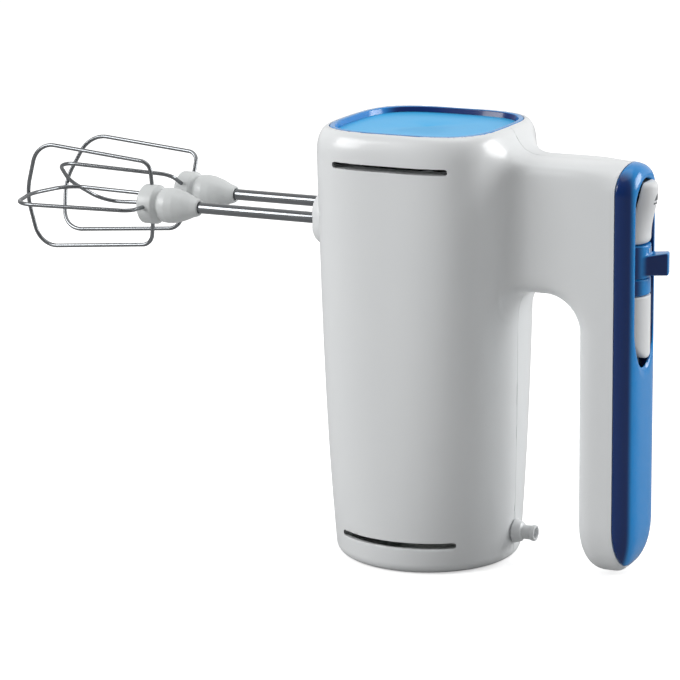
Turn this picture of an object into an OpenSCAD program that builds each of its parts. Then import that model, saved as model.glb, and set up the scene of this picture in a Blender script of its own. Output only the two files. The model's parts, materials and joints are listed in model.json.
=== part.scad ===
// Hand mixer standing on its heel: +Z runs from heel to nose, the beaters point to -X and
// the handle is at +X. The origin is the centre of the heel's resting face.

/* [Body] */
// Height of the body from heel to nose
body_h = 212; // [190:1:235]
// Half width of the body near the nose
nose_r = 47.1; // [44:0.1:54]
// Half width of the body near the heel
heel_r = 44.7; // [41:0.1:50]
// Squareness of the section at the nose, where 2 is round
nose_square = 3.4; // [2.6:0.1:4]
// Rounding of the heel's edge
heel_round = 5; // [2:0.5:8]
// Height of the rounded shoulder under the nose cap
shoulder_h = 12; // [8:0.5:16]
// Inset of the nose cap from the side of the body
cap_inset = 5.3; // [3:0.1:8]
// Depth of the nose cap's seat
cap_seat = 6; // [4:0.5:8]
// Thickness of the shells and covers
wall = 2.4; // [1.8:0.1:3]

/* [Handle] */
// Gap for the hand, from the body to the handle
hand_gap = 35.9; // [32:0.1:46]
// Depth of the handle, front to back
handle_depth = 29; // [26:0.5:35]
// Width of the handle and the arm
handle_w = 36; // [32:0.5:42]
// Depth of the arm, from its top to its underside
arm_h = 64; // [58:1:76]
// Step from the nose down to the top of the arm
arm_drop = 12.5; // [8:0.5:20]
// Height of the handle's lower end over the surface
handle_lift = 2; // [1:0.5:8]
// Rounding under the arm where it meets the handle
arm_fillet = 17; // [10:1:22]
// Depth of the coloured cover on the back of the handle
cover_depth = 9.4; // [7:0.2:12]

/* [Controls] */
// Radius of the control barrel
barrel_r = 11.5; // [10:0.1:13]
// How far the barrel stands proud of the handle
barrel_proud = 1.3; // [0.5:0.1:3]
// Height of the eject paddle
paddle_h = 29.5; // [24:0.5:34]
// Height of the turning speed collar
collar_h = 15.7; // [12:0.1:20]
// Height of the fixed ring under it
ring_h = 7.7; // [5:0.1:10]
// Length of the turbo button
turbo_h = 30.5; // [24:0.5:36]
// Step from the handle's top to the control barrel
barrel_drop = 8.3; // [6:0.1:12]
// Reach of the speed lever from the barrel's axis
lever_reach = 20; // [18:0.5:24]
// Where the speed lever stands when off, in degrees
lever_off = 15; // [0:1:25]
// Travel of the eject paddle
eject_travel = 7; // [4:0.5:9]
// Travel of the turbo button
turbo_travel = 2.5; // [1.5:0.5:3]

/* [Drive] */
// Distance between the two beater axes
spindle_pitch = 38; // [34:0.5:44]
// Step from the nose down to the beater axes
spindle_drop = 47.4; // [44:0.2:56]
// Teeth on each worm gear
gear_teeth = 28; // [24:2:32]
// Threads on the worm
worm_starts = 2; // [1:1:3]
// Pitch radius of the worm
worm_r = 5; // [4.5:0.1:6]
// Outer radius of the spindles
spindle_r = 5; // [4.6:0.1:6]
// Radius of the motor shaft
shaft_r = 3; // [2.5:0.1:3.5]
// Radius of the armature
armature_r = 14; // [12:0.5:16]
// Length of the motor's iron stack
stack_h = 34; // [28:1:40]

/* [Beaters] */
// Radius of the beater shafts
beater_r = 2.75; // [2.4:0.05:3.2]
// Distance from the body's axis to the beaters' tips
beater_reach = 213.2; // [190:1:230]
// Length of a beater's cage
cage_len = 72.7; // [60:0.5:84]
// Half width of the cage at its widest
cage_r = 26; // [20:0.5:28]
// Half width of the cage beside the collar
cage_back_r = 20.6; // [16:0.2:24]
// Radius of the cage wire
wire_r = 1; // [0.8:0.1:1.3]
// Radius of the plastic collar
collar_r = 9.7; // [8:0.1:11]
// Length of the plastic collar
collar_len = 31; // [26:1:36]

/* [Clearances] */
// Running clearance of a shaft in its bush, on the radius
run_gap = 0.05; // [0.03:0.01:0.1]
// Clearance of the beater shaft in its spindle, on the radius
slide_gap = 0.1; // [0.06:0.02:0.16]
// Shadow gap between neighbouring covers
cover_gap = 0.2; // [0.1:0.05:0.4]
// Gap of a gear or worm fixed on its shaft, on the radius
press_gap = 0.02; // [0:0.01:0.05]
// Gap around a moving button
button_gap = 0.5; // [0.3:0.1:0.8]

/* [Hidden] */
$fn = 48;

sliver = 0.01;
shell_white = "#f1f3f4";
cover_blue = "#0f72b8";

// Main heights and places
spindle_z = body_h - spindle_drop;
spindle_y = spindle_pitch / 2;
arm_top = body_h - arm_drop;
arm_under = arm_top - arm_h;
handle_in = nose_r + hand_gap;
handle_out = handle_in + handle_depth;
handle_mid = (handle_in + handle_out) / 2;
cover_x = handle_out - cover_depth;
barrel_x = handle_out + barrel_proud - barrel_r;
barrel_back = barrel_x - 5.5;
paddle_top = arm_top - barrel_drop;
paddle_z = paddle_top - paddle_h;
collar_z = paddle_z - collar_h - button_gap;
ring_z = collar_z - ring_h - cover_gap;
turbo_z = ring_z - turbo_h - button_gap;

// ---- Shared shapes -------------------------------------------------------------------

function bound(v, low, high) = min(max(v, low), high);
function power_sign(v, p) = sign(v) * pow(abs(v), p);
function super_ring(rx, ry, n, count) = [for (i = [0:count - 1]) let (t = 360 * i / count)
    [rx * power_sign(cos(t), 2 / n), ry * power_sign(sin(t), 2 / n)]];
// Inset of a quarter ellipse: 0 where t is 0 and deep where t is 1
function quarter(t, deep) = deep * (1 - sqrt(1 - pow(bound(t, 0, 1), 2)));

// Closed solid through a list of rings of equally many points, lowest ring first
function skin_sides(rings, count) = [for (i = [0:rings - 2], k = [0:count - 1])
    let (a = i * count + k, b = i * count + (k + 1) % count) each [[a, a + count, b + count], [a, b + count, b]]];
module skin(rings) {
    count = len(rings[0]);
    last = (len(rings) - 1) * count;
    polyhedron([for (ring = rings) each ring], concat([[for (k = [0:count - 1]) k]],
        skin_sides(len(rings), count), [[for (k = [count - 1:-1:0]) last + k]]));
}
function level_ring(z, middle, rx, ry, n, count) = [for (p = super_ring(rx, ry, n, count)) [middle + p[0], p[1], z]];
function upright_ring(x, middle, ry, rz, n, count) = [for (p = super_ring(ry, rz, n, count)) [x, p[0], middle + p[1]]];

module along_x() rotate([0, 90, 0]) children();
module along_y() rotate([-90, 0, 0]) children();
module side_profile(width)
    translate([0, width / 2, 0]) rotate([90, 0, 0]) linear_extrude(width) children();

module tube(outer, inner, height) difference() {
    cylinder(r = outer, h = height);
    translate([0, 0, -1]) cylinder(r = inner, h = height + 2);
}

// ---- Outer form: body, arm and handle ------------------------------------------------

function body_rise(z) = bound(z / (body_h - shoulder_h), 0, 1);
function body_n(z) = 2 + (nose_square - 2) * body_rise(z);
function body_side(z) = nose_r - (nose_r - heel_r) * pow(1 - body_rise(z), 4)
    - quarter((z - body_h + shoulder_h) / shoulder_h, cap_inset)
    - quarter(1 - z / heel_round, heel_round);
body_heights = concat([for (t = [0, 0.08, 0.25, 0.55, 1]) heel_round * t],
    [for (t = [0.08, 0.22, 0.4, 0.6, 0.8, 1]) (body_h - shoulder_h) * t],
    [for (t = [0.35, 0.6, 0.8, 0.93, 1]) body_h - shoulder_h + shoulder_h * t]);
function body_ring(z, inset) = level_ring(z, 0, body_side(z) - inset, body_side(z) - inset, body_n(z), 48);
module body_form() skin([for (z = body_heights) body_ring(z, 0)]);

cavity_top = body_h - cap_seat - wall;
module body_cavity() {
    steps = 6;
    skin(concat([level_ring(wall, 0, heel_r - heel_round, heel_r - heel_round, 2, 48)],
        [for (i = [0:steps]) body_ring(heel_round + (cavity_top - heel_round) * i / steps, wall)]));
}

// Underside of the arm: a small rounding at the body and a large one at the handle
body_fillet = 6;
function arm_low(x) = arm_under
    - quarter((nose_r + body_fillet - x) / body_fillet, body_fillet)
    - quarter((x - handle_in + arm_fillet) / arm_fillet, arm_fillet);
arm_places = concat([nose_r - 8, nose_r + 0.5, nose_r + 2.5, nose_r + body_fillet],
    [for (t = [0, 0.35, 0.6, 0.8, 0.93, 1]) handle_in - arm_fillet * (1 - t)], [handle_mid]);
function arm_ring(x, inset) = let (low = arm_low(x) + inset, high = arm_top - inset)
    upright_ring(x, (low + high) / 2, handle_w / 2 - inset, (high - low) / 2, 6, 40);
module arm_form(inset) skin([for (x = arm_places) arm_ring(x, inset)]);

// Handle: sections level with the ground, drawn in at the lower end and at the top
end_h = 27;
top_round = 9;
function handle_shrink(z) = min(pow(1 - pow(bound((handle_lift + end_h - z) / end_h, 0, 0.999), 2.4), 1 / 2.4),
    1 - 0.5 * (1 - sqrt(1 - pow(bound((z - arm_top + top_round) / top_round, 0, 1), 2))));
function handle_heights(inset) = let (low = handle_lift + inset, high = arm_top - inset)
    concat([for (t = [0, 0.03, 0.1, 0.25, 0.5, 1]) low + (handle_lift + end_h - low) * t],
        [for (t = [0, 0.5, 0.8, 1]) arm_top - top_round + (high - arm_top + top_round) * t]);
function handle_ring(z, inset) = let (k = handle_shrink(z))
    level_ring(z, handle_mid - (z > arm_under ? (1 - k) * handle_depth / 2 : 0),
        max(handle_depth / 2 * k - inset, 1), max(handle_w / 2 * k - inset, 1), 4, 40);
module handle_form(inset) skin([for (z = handle_heights(inset)) handle_ring(z, inset)]);

// Side outline of the handle's coloured cover, drawn back at both ends
cover_top_curve = 14;
cover_top_draw = 2.4;
cover_end_curve = 24;
function cover_edge(z) = cover_x + quarter((z - arm_top + cover_top_curve) / cover_top_curve, cover_top_draw)
    + quarter((handle_lift + cover_end_curve - z) / cover_end_curve, cover_depth - 1);
module cover_zone(gap) side_profile(2 * handle_w) {
    steps = 24;
    polygon(concat([for (i = [0:steps]) let (z = handle_lift + (arm_top - handle_lift) * i / steps)
        [cover_edge(z) - gap, z]], [[handle_out + 20, arm_top], [handle_out + 20, handle_lift]]));
}

// Pocket in the cover for the control barrel, round at its lower tip
pocket_w = 2 * (barrel_r + button_gap) - 1;
module control_pocket() translate([barrel_back - 8, 0, 0]) along_x() linear_extrude(60) hull() {
    translate([-turbo_z + 2, 0]) circle(d = pocket_w * 0.6);
    translate([-turbo_z - 14, 0]) circle(d = pocket_w);
    translate([-paddle_top - 1 + pocket_w / 2, 0]) circle(d = pocket_w);
}

// ---- Shells --------------------------------------------------------------------------

slot_h = 3;
slot_top_drop = 15.7;
slot_heel_z = 14.4;
slot_w = 59;
slot_mid = 0.5;
module vent_slots(side) for (z = [body_h - slot_top_drop, slot_heel_z]) translate([slot_mid, 0, z])
    rotate([side > 0 ? -90 : 90, 0, 0]) translate([0, 0, heel_r * 0.4]) linear_extrude(nose_r) {
        square([slot_w - slot_h, slot_h], center = true);
        for (s = [-1, 1]) translate([s * (slot_w - slot_h) / 2, 0]) circle(d = slot_h, $fn = 16);
    }

// Screw places on the joint between the shells, as [x, z]
screw_places = [[-37, 32], [37, 42], [-35, 128], [36, 120], [67, arm_under + 9], [handle_in + 8, 30],
    [handle_in + 8, 84]];
screw_r = 1.5;
post_r = 4;
gland_z = 14.4;
gland_seat_r = 4.8;
boss_h = 16;
boss_w = spindle_y + 10;
boss_proud = 5.4;
boss_round = 5;
boss_face = -nose_r - boss_proud;
boss_back = -nose_r + 8;
function boss_ring(x, grow) = upright_ring(x, spindle_z, boss_w + grow, boss_h + grow, 2.6, 48);

module shell_form() {
    body_form();
    arm_form(0);
    handle_form(0);
}
module shell_cavity() {
    body_cavity();
    arm_form(wall);
    handle_form(wall);
}
module cap_seat_cut() translate([0, 0, body_h - cap_seat])
    linear_extrude(cap_seat + 1)
        polygon(super_ring(nose_r - cap_inset, nose_r - cap_inset, nose_square, 48));
// Screw posts run from the joint to the wall. The right shell's are bored out for the heads.
post_joint = 9;
module post_bars() for (p = screw_places) translate([p[0], 0, p[1]]) rotate([90, 0, 0])
    linear_extrude(2 * nose_r, center = true) {
        circle(r = post_r);
        if (abs(p[0]) < nose_r) translate([sign(p[0]) * 5, 0]) square([8, 1.8], center = true);
    }
module post_bores() for (p = screw_places) translate([p[0], 0, p[1]]) rotate([-90, 0, 0]) {
    translate([0, 0, -12]) cylinder(r = screw_r, h = 13);
    cylinder(r = screw_r + 0.1, h = 2 * nose_r);
    translate([0, 0, post_joint - 0.1]) cylinder(r = 3.2, h = 2 * nose_r);
}
// side is -1 for the left shell and 1 for the right one
module body_shell(side) color(shell_white) {
    far = 400;
    intersection() {
        difference() {
            shell_form();
            difference() {
                shell_cavity();
                post_bars();
            }
            post_bores();
            cap_seat_cut();
            cover_zone(cover_gap);
            vent_slots(side);
            skin([for (x = [-nose_r - 20, boss_back - cover_gap]) boss_ring(x, cover_gap)]);
            translate([0, 0, gland_z]) along_x() cylinder(r = gland_seat_r, h = 90);
        }
        translate([-far / 2, side > 0 ? 0 : -far, -1]) cube(far);
    }
}
module body_shell_left() body_shell(-1);
module body_shell_right() body_shell(1);

// Shallow dish with a raised rim
module nose_cap() color("#7cbbe3") {
    side = nose_r - cap_inset - cover_gap;
    rim = 2;
    translate([0, 0, body_h - cap_seat]) difference() {
        linear_extrude(cap_seat) polygon(super_ring(side, side, nose_square, 48));
        translate([0, 0, cap_seat - rim]) linear_extrude(cap_seat)
            polygon(super_ring(side - rim, side - rim, nose_square, 48));
        translate([0, 0, -1]) linear_extrude(cap_seat - rim - wall + 1)
            polygon(super_ring(side - wall, side - wall, nose_square, 48));
    }
}

module handle_cover() color(cover_blue) difference() {
    intersection() {
        handle_form(0);
        cover_zone(0);
    }
    handle_form(wall);
    control_pocket();
}

socket_r = 6.4;
module beater_boss() color(shell_white) {
    steps = 4;
    difference() {
        skin(concat([for (i = [0:steps]) boss_ring(boss_face + boss_round * pow(i / steps, 2),
            -boss_round * pow(1 - i / steps, 2))], [boss_ring(boss_back, 0)]));
        translate([boss_face + wall, -boss_w + 7, spindle_z - boss_h + 5])
            cube([30, 2 * boss_w - 14, 2 * boss_h - 10]);
        for (s = [-1, 1]) translate([boss_face - 1, s * spindle_y, spindle_z]) along_x()
            cylinder(r = socket_r, h = 30);
    }
    for (s = [-1, 1]) translate([boss_face + wall, s * spindle_y, spindle_z]) along_x()
        tube(socket_r + 1.6, socket_r, boss_back - boss_face - wall);
}

cord_r = 2.6;
gland_reach = 9;
gland_flange_r = 6.4;
gland_x = body_side(gland_z + gland_flange_r) + cover_gap;
gland_in = gland_x - body_side(gland_z - gland_flange_r) + wall + 2;
module cord_gland() color("#e6e9ea") translate([gland_x, 0, gland_z]) along_x() difference() {
    union() {
        translate([0, 0, -gland_in]) cylinder(r = gland_seat_r - cover_gap, h = gland_in + 0.6);
        cylinder(r1 = 6.1, r2 = 4.7, h = 4);
        cylinder(r = 3.5, h = gland_reach + 2);
        translate([0, 0, gland_reach]) cylinder(r = 3.9, h = 2.2);
        translate([0, 0, -gland_in - 2]) cylinder(r = gland_flange_r, h = 2);
    }
    translate([0, 0, -gland_in - 3]) cylinder(r = cord_r, h = gland_in + 30);
}

module housing_screws() color("silver") for (p = screw_places) translate([p[0], post_joint, p[1]])
    rotate([90, 0, 0]) {
        cylinder(r = screw_r - 0.1, h = 18);
        translate([0, 0, -1.8]) difference() {
            cylinder(r = 2.8, h = 1.8);
            for (a = [0, 90]) rotate([0, 0, a]) cube([3, 0.7, 1.6], center = true);
        }
    }

// ---- Gear case and its bushes --------------------------------------------------------

gear_w = 9;
gear_pitch_r = spindle_y - worm_r;
tooth_pitch = 360 / gear_teeth;
tooth_up = 0.8;
tooth_down = 1.1;
case_front = -36;
case_rear = 9;
case_wall = 4;
case_floor_z = spindle_z - 24;
case_top_z = spindle_z + 17;
spindle_front = -nose_r + 4.5;
spindle_back = 14;
bush_r = spindle_r + 2.4;
module gear_case() color("#3c4248") difference() {
    union() {
        translate([case_front, -30, case_floor_z]) cube([case_rear + case_wall - case_front, 60, 4]);
        for (x = [case_front, case_rear]) translate([x, -30, case_floor_z])
            cube([case_wall, 60, spindle_z + 10 - case_floor_z]);
        for (x = [case_front, case_rear]) translate([x, -10, case_floor_z])
            cube([case_wall, 20, case_top_z + 6 - case_floor_z]);
        translate([case_front, -10, case_top_z]) cube([case_rear + case_wall - case_front, 20, 6]);
    }
    for (s = [-1, 1]) translate([case_front - 10, s * spindle_y, spindle_z]) along_x()
        cylinder(r = bush_r, h = 70);
    translate([0, 0, case_floor_z - 1]) cylinder(r = 9, h = 6);
    translate([0, 0, case_top_z - 1]) cylinder(r = shaft_r + 3.5, h = 8);
    for (x = [case_front + 8, case_rear - 4], y = [-24, 24])
        translate([x, y, case_floor_z - 1]) cylinder(r = 1.6, h = 6);
}

module spindle_bush(side, x, length) color("#b58642") translate([x, side * spindle_y, spindle_z])
    along_x() tube(bush_r, spindle_r + run_gap, length);
bush_len = 6;
module front_bush_left() spindle_bush(-1, case_front - 1, bush_len);
module front_bush_right() spindle_bush(1, case_front - 1, bush_len);
module rear_bush_left() spindle_bush(-1, case_rear, case_wall);
module rear_bush_right() spindle_bush(1, case_rear, case_wall);

// ---- Motor ---------------------------------------------------------------------------

stack_z = spindle_z - 46 - stack_h;
stack_top = stack_z + stack_h;
coil_h = 7;
bracket_h = 4;
upper_bracket_z = case_floor_z - bracket_h - sliver;
fan_h = 6;
fan_z = upper_bracket_z - fan_h - 1.5;
commutator_h = 12;
commutator_r = 8;
commutator_z = stack_z - coil_h - commutator_h - 3;
lower_bracket_z = commutator_z - 14;
air_gap = 0.5;
stator_x = 2 * armature_r + 24;
stator_y = 2 * armature_r + 14;
bolt_x = armature_r + 9.5;
bolt_r = 1.8;
fan_r = bolt_x - 5.5;
module motor_stator() color("#8a8f94") translate([0, 0, stack_z]) difference() {
    linear_extrude(stack_h) difference() {
        square([stator_x, stator_y], center = true);
        circle(r = armature_r + air_gap);
        for (s = [-1, 1]) translate([s * bolt_x, 0]) circle(r = bolt_r + 0.1);
        for (sx = [-1, 1], sy = [-1, 1])
            translate([sx * (armature_r + 1), sy * (armature_r + 1)]) square(8, center = true);
    }
}
module field_winding(z) color("#b5622d") translate([0, 0, z]) linear_extrude(coil_h - 0.4) difference() {
    square([2 * armature_r + 10, 2 * armature_r + 13], center = true);
    circle(r = armature_r + air_gap + 0.5);
}
module field_winding_upper() field_winding(stack_top + 0.2);
module field_winding_lower() field_winding(stack_z - coil_h + 0.2);

module bracket(z, inner, leg_h, up) translate([0, 0, z]) difference() {
    union() {
        linear_extrude(bracket_h) hull() for (s = [-1, 1]) {
            translate([s * (bolt_x + 1), 0]) circle(r = 7);
            translate([0, s * 12]) circle(r = 12);
        }
        for (s = [-1, 1]) translate([s * bolt_x, 0, up ? bracket_h : -leg_h]) cylinder(r = 4, h = leg_h);
    }
    translate([0, 0, -1]) cylinder(r = inner, h = bracket_h + 2);
    for (s = [-1, 1]) translate([s * bolt_x, 0, -80]) cylinder(r = bolt_r + 0.1, h = 160);
}
bearing_r = shaft_r + 3.5;
module motor_bracket_upper() color("#c9cdd0")
    bracket(upper_bracket_z, bearing_r, upper_bracket_z - stack_top, false);
module motor_bracket_lower() color("#c9cdd0")
    bracket(lower_bracket_z, bearing_r, stack_z - lower_bracket_z - bracket_h, true);
module shaft_bearing(z) color("#b58642") translate([0, 0, z]) tube(bearing_r, shaft_r + run_gap, bracket_h);
module nose_bearing() shaft_bearing(case_top_z + 1);
module upper_bearing() shaft_bearing(upper_bracket_z);
module lower_bearing() shaft_bearing(lower_bracket_z);
module motor_bolts() color("silver") for (s = [-1, 1]) translate([s * bolt_x, 0, lower_bracket_z - 2.5]) {
    cylinder(r = bolt_r, h = upper_bracket_z + bracket_h - lower_bracket_z + 2.4);
    cylinder(r = 3.2, h = 2.5, $fn = 6);
}

// Brush gear: a holder, a brush and its spring on each side of the commutator
brush_z = commutator_z + commutator_h / 2;
holder_near = commutator_r + 2;
holder_far = commutator_r + 19;
brush_len = 9;
module brush_side(side) translate([0, 0, brush_z]) rotate([0, 0, side > 0 ? 0 : 180]) children();
module brush_holder(side) color("#d0a850") brush_side(side) difference() {
    translate([-4, holder_near, -5]) cube([8, holder_far - holder_near, 10]);
    translate([-3, holder_near - 1, -4]) cube([6, holder_far - holder_near - 0.5, 8]);
}
module carbon_brush(side) color("#2a2c2e") brush_side(side)
    translate([-2.9, commutator_r + 0.1, -3.9]) cube([5.8, brush_len, 7.8]);
module brush_holder_left() brush_holder(-1);
module brush_holder_right() brush_holder(1);
module carbon_brush_left() carbon_brush(-1);
module carbon_brush_right() carbon_brush(1);
module brush_springs() color("silver") for (side = [-1, 1]) brush_side(side)
    translate([0, commutator_r + brush_len + 0.4, 0]) along_y()
        coil(2, 0.35, holder_far - commutator_r - brush_len - 2.2, 4);

// Helical wire about Z
function helix(r, height, turns, count) = [for (i = [0:count]) let (t = i / count)
    [r * cos(360 * turns * t), r * sin(360 * turns * t), height * t]];
module coil(r, wire, height, turns) {
    per_turn = 10;
    wire_path([for (p = helix(r, height - 2 * wire, turns, turns * per_turn)) p + [0, 0, wire]], wire, 6, [0, 0, 1]);
}

// Tube swept along a list of points. Each ring stands square to the path, with its first
// corner at right angles to `guide`, which the path never runs along.
function unit(v) = v / norm(v);
module wire_path(path, radius, sides, guide) {
    last = len(path) - 1;
    heading = [for (i = [0:last]) unit(path[min(i + 1, last)] - path[max(i - 1, 0)])];
    rings = [for (i = [0:last]) let (up = unit(cross(heading[i], guide)), w = cross(heading[i], up))
        [for (k = [0:sides - 1]) path[i] + radius * (cos(360 * k / sides) * up + sin(360 * k / sides) * w)]];
    skin(rings);
}

// ---- Rotor ---------------------------------------------------------------------------

worm_len = 22;
module rotor_shaft() color("silver") translate([0, 0, lower_bracket_z - 1])
    cylinder(r = shaft_r, h = case_top_z + 7 - lower_bracket_z);
module armature_core() color("#7d8286") translate([0, 0, stack_z]) linear_extrude(stack_h) difference() {
    circle(r = armature_r);
    circle(r = shaft_r);
    for (i = [0:11]) rotate([0, 0, 30 * i]) translate([armature_r - 2.5, 0]) square([6, 1.8], center = true);
}
module armature_winding() color("#b5622d") for (z = [stack_top, stack_z - coil_h + 1])
    translate([0, 0, z]) tube(armature_r - 1.5, shaft_r, coil_h - 1);
module commutator() color("#a8642f") translate([0, 0, commutator_z]) linear_extrude(commutator_h) difference() {
    circle(r = commutator_r);
    circle(r = shaft_r);
    for (i = [0:11]) rotate([0, 0, 30 * i]) translate([commutator_r, 0]) square([1.6, 0.5], center = true);
}
// A right-handed thread of as many starts as named, on a core
worm_top_r = worm_r + 0.8;
worm_core_r = worm_r - 1.1;
module worm() color("#8d9296") translate([0, 0, spindle_z - worm_len / 2]) difference() {
    pitch = 2 * PI * gear_pitch_r / gear_teeth;
    lead = pitch * worm_starts;
    rotate([0, 0, 90 - 180 * worm_len / lead])
            linear_extrude(worm_len, twist = -360 * worm_len / lead, slices = 30) union() {
        circle(r = worm_core_r, $fn = 16);
        for (i = [0:worm_starts - 1]) rotate([0, 0, 360 * i / worm_starts]) polygon([for (a = [-1, -0.5, 0.5, 1])
            let (half = 50 / worm_starts) [(abs(a) == 1 ? worm_core_r - 0.2 : worm_top_r) * cos(a * half * 0.9),
                (abs(a) == 1 ? worm_core_r - 0.2 : worm_top_r) * sin(a * half * 0.9)]]);
    }
    translate([0, 0, -1]) cylinder(r = shaft_r + press_gap, h = worm_len + 2);
}
module cooling_fan() color("#2f3337") translate([0, 0, fan_z]) {
    tube(fan_r, shaft_r, 1.2);
    translate([0, 0, 1.2]) linear_extrude(fan_h - 1.2) difference() {
        union() {
            circle(r = 6);
            for (i = [0:8]) rotate([0, 0, 40 * i]) translate([3, -0.6]) square([fan_r - 4, 1.2]);
        }
        circle(r = shaft_r);
    }
}

// ---- Spindles and worm gears ---------------------------------------------------------

lug_x = spindle_front + 2;
module spindle(side) color("#a9aeb2") translate([0, side * spindle_y, spindle_z]) difference() {
    translate([spindle_front, 0, 0]) along_x()
        tube(spindle_r, beater_r + slide_gap, spindle_back - spindle_front);
    rotate([beater_phase(side), 0, 0])
        translate([spindle_front - 1, -spindle_r - 1, -1.1]) cube([4.2, 2 * spindle_r + 2, 2.2]);
}
module spindle_left() spindle(-1);
module spindle_right() spindle(1);

// Helical gear cut to the worm's lead angle, with plenty of backlash
lead_angle = atan(worm_starts * gear_pitch_r / gear_teeth / worm_r);
gear_twist = gear_w * tan(lead_angle) / gear_pitch_r * 180 / PI;
function gear_outline() = [for (i = [0:gear_teeth - 1], c = [[-0.3, 0], [-0.11, 1], [0.11, 1], [0.3, 0]])
    let (a = tooth_pitch * (i + c[0]), r = c[1] > 0 ? gear_pitch_r + tooth_up : gear_pitch_r - tooth_down)
    [r * cos(a), r * sin(a)]];
// gap is 0.5 where a thread's crest meets this gear, and 0 where a tooth falls between threads
module worm_gear(side, gap) color("#e8e2cf") translate([-gear_w / 2, side * spindle_y, spindle_z])
    rotate([0, 90, 0]) rotate([0, 0, tooth_pitch * gap - 90 * side]) difference() {
        linear_extrude(gear_w, twist = -gear_twist, slices = 3) rotate([0, 0, -gear_twist / 2])
            polygon(gear_outline());
        translate([0, 0, -1]) cylinder(r = spindle_r + press_gap, h = gear_w + 2);
    }
module worm_gear_left() worm_gear(-1, worm_starts % 2 == 0 ? 0.5 : 0);
module worm_gear_right() worm_gear(1, 0.5);

// ---- Beaters -------------------------------------------------------------------------

// Turn of each beater about its axis, in degrees, so that the two cages pass each other
function beater_phase(side) = side < 0 ? 0 : -32;
cage_x = -beater_reach + cage_len;
collar_front = cage_x - 4.4;
beater_end = 10;
module beater_place(side) translate([0, side * spindle_y, spindle_z])
    rotate([beater_phase(side), 0, 0]) children();
module beater_shaft(side) color("silver") beater_place(side) {
    translate([collar_front + 4, 0, 0]) along_x() cylinder(r = beater_r, h = beater_end - collar_front - 4);
    translate([lug_x, 0, 0]) rotate([90, 0, 0]) cylinder(r = 0.95, h = 2 * spindle_r - 1.2, center = true);
}
// Plastic collar: a front ring, a groove and a shoulder that tapers to the shaft
module beater_collar(side) color("#c8cdce") beater_place(side) translate([collar_front, 0, 0]) along_x()
    difference() {
        rotate_extrude() polygon([[0, 0], [collar_r - 1, 0], [collar_r, 1], [collar_r, 8], [collar_r - 2.4, 9.4],
            [collar_r - 2.4, 10.4], [collar_r - 1.2, 11.6], [collar_r - 1.4, 18], [collar_r - 2.6, 23],
            [beater_r + 2.4, 27.5], [beater_r + 1.2, collar_len], [0, collar_len]]);
        translate([0, 0, 4]) cylinder(r = beater_r, h = collar_len);
        for (a = [0, 90, 180, 270]) rotate([0, 0, a]) translate([5, 0, 4.4]) rotate([0, 90, 0])
            cylinder(r = wire_r + 0.05, h = collar_r);
    }

// Cage outline in a plane through the axis, as [distance from the axis, place along it]
function rounded_corner(a, b, c, r, steps) = let (u = unit(a - b), v = unit(c - b),
        half = acos(u * v) / 2, reach = r / tan(half), centre = b + unit(u + v) * r / sin(half),
        start = b + u * reach - centre, finish = b + v * reach - centre,
        turn = (180 - 2 * half) * sign(cross(start, finish)))
    [for (i = [0:steps]) let (t = turn * i / steps) centre
        + [start[0] * cos(t) - start[1] * sin(t), start[0] * sin(t) + start[1] * cos(t)]];
function cage_half(tip) = let (back = [cage_back_r, cage_x - 0.9], front = [cage_r + 0.4, tip + 6.4],
        nose = [0, tip - 0.6])
    concat([[6, cage_x], [collar_r + 0.6, cage_x]],
        rounded_corner([collar_r + 0.6, cage_x], back, front, 10, 6),
        rounded_corner(back, front, nose, 12, 7));
module cage_loop(side, turn, tip) color("#d7dadd") beater_place(side) rotate([turn, 0, 0]) {
    half = cage_half(tip);
    nose = rounded_corner(half[len(half) - 1], [0, tip - 0.6], [-half[len(half) - 1][0], half[len(half) - 1][1]],
        30, 4);
    loop = concat(half, nose, [for (i = [len(half) - 1:-1:0]) [-half[i][0], half[i][1]]]);
    wire_path([for (p = loop) [p[1], 0, p[0]]], wire_r, 8, [0, 1, 0]);
}
tip_a = -beater_reach + wire_r;
tip_b = tip_a + 2 * wire_r + 0.2;
module beater_shaft_left() beater_shaft(-1);
module beater_shaft_right() beater_shaft(1);
module beater_collar_left() beater_collar(-1);
module beater_collar_right() beater_collar(1);
module beater_loop_a_left() cage_loop(-1, 0, tip_a);
module beater_loop_b_left() cage_loop(-1, 90, tip_b);
module beater_loop_a_right() cage_loop(1, 0, tip_a);
module beater_loop_b_right() cage_loop(1, 90, tip_b);

// ---- Heel electrics ------------------------------------------------------------------

board_z = 26;
board_h = 1.6;
module circuit_board() color("#2f6b3c") translate([-26, -20, board_z]) cube([52, 40, board_h]);
module noise_capacitor() color("#d9b23c") translate([-20, -14, board_z + board_h]) cube([18, 8, 12]);
module choke_coil() color("#b5622d") translate([14, 6, board_z + board_h]) tube(8, 4, 7);

// ---- Controls ------------------------------------------------------------------------

rod_z = paddle_z + paddle_h / 2;
post_top = collar_z + collar_h - 2;
post_core_r = 5;
module control_post() color("#5b6166") translate([barrel_x, 0, ring_z])
    cylinder(r = post_core_r, h = post_top - ring_z);
module fixed_ring() color(cover_blue) difference() {
    union() {
        translate([barrel_x, 0, ring_z]) cylinder(r = barrel_r, h = ring_h);
        translate([handle_in + wall + 0.3, -6, ring_z]) cube([barrel_r, 12, ring_h]);
    }
    translate([barrel_x, 0, ring_z - 1]) cylinder(r = post_core_r, h = ring_h + 2);
}

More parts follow.
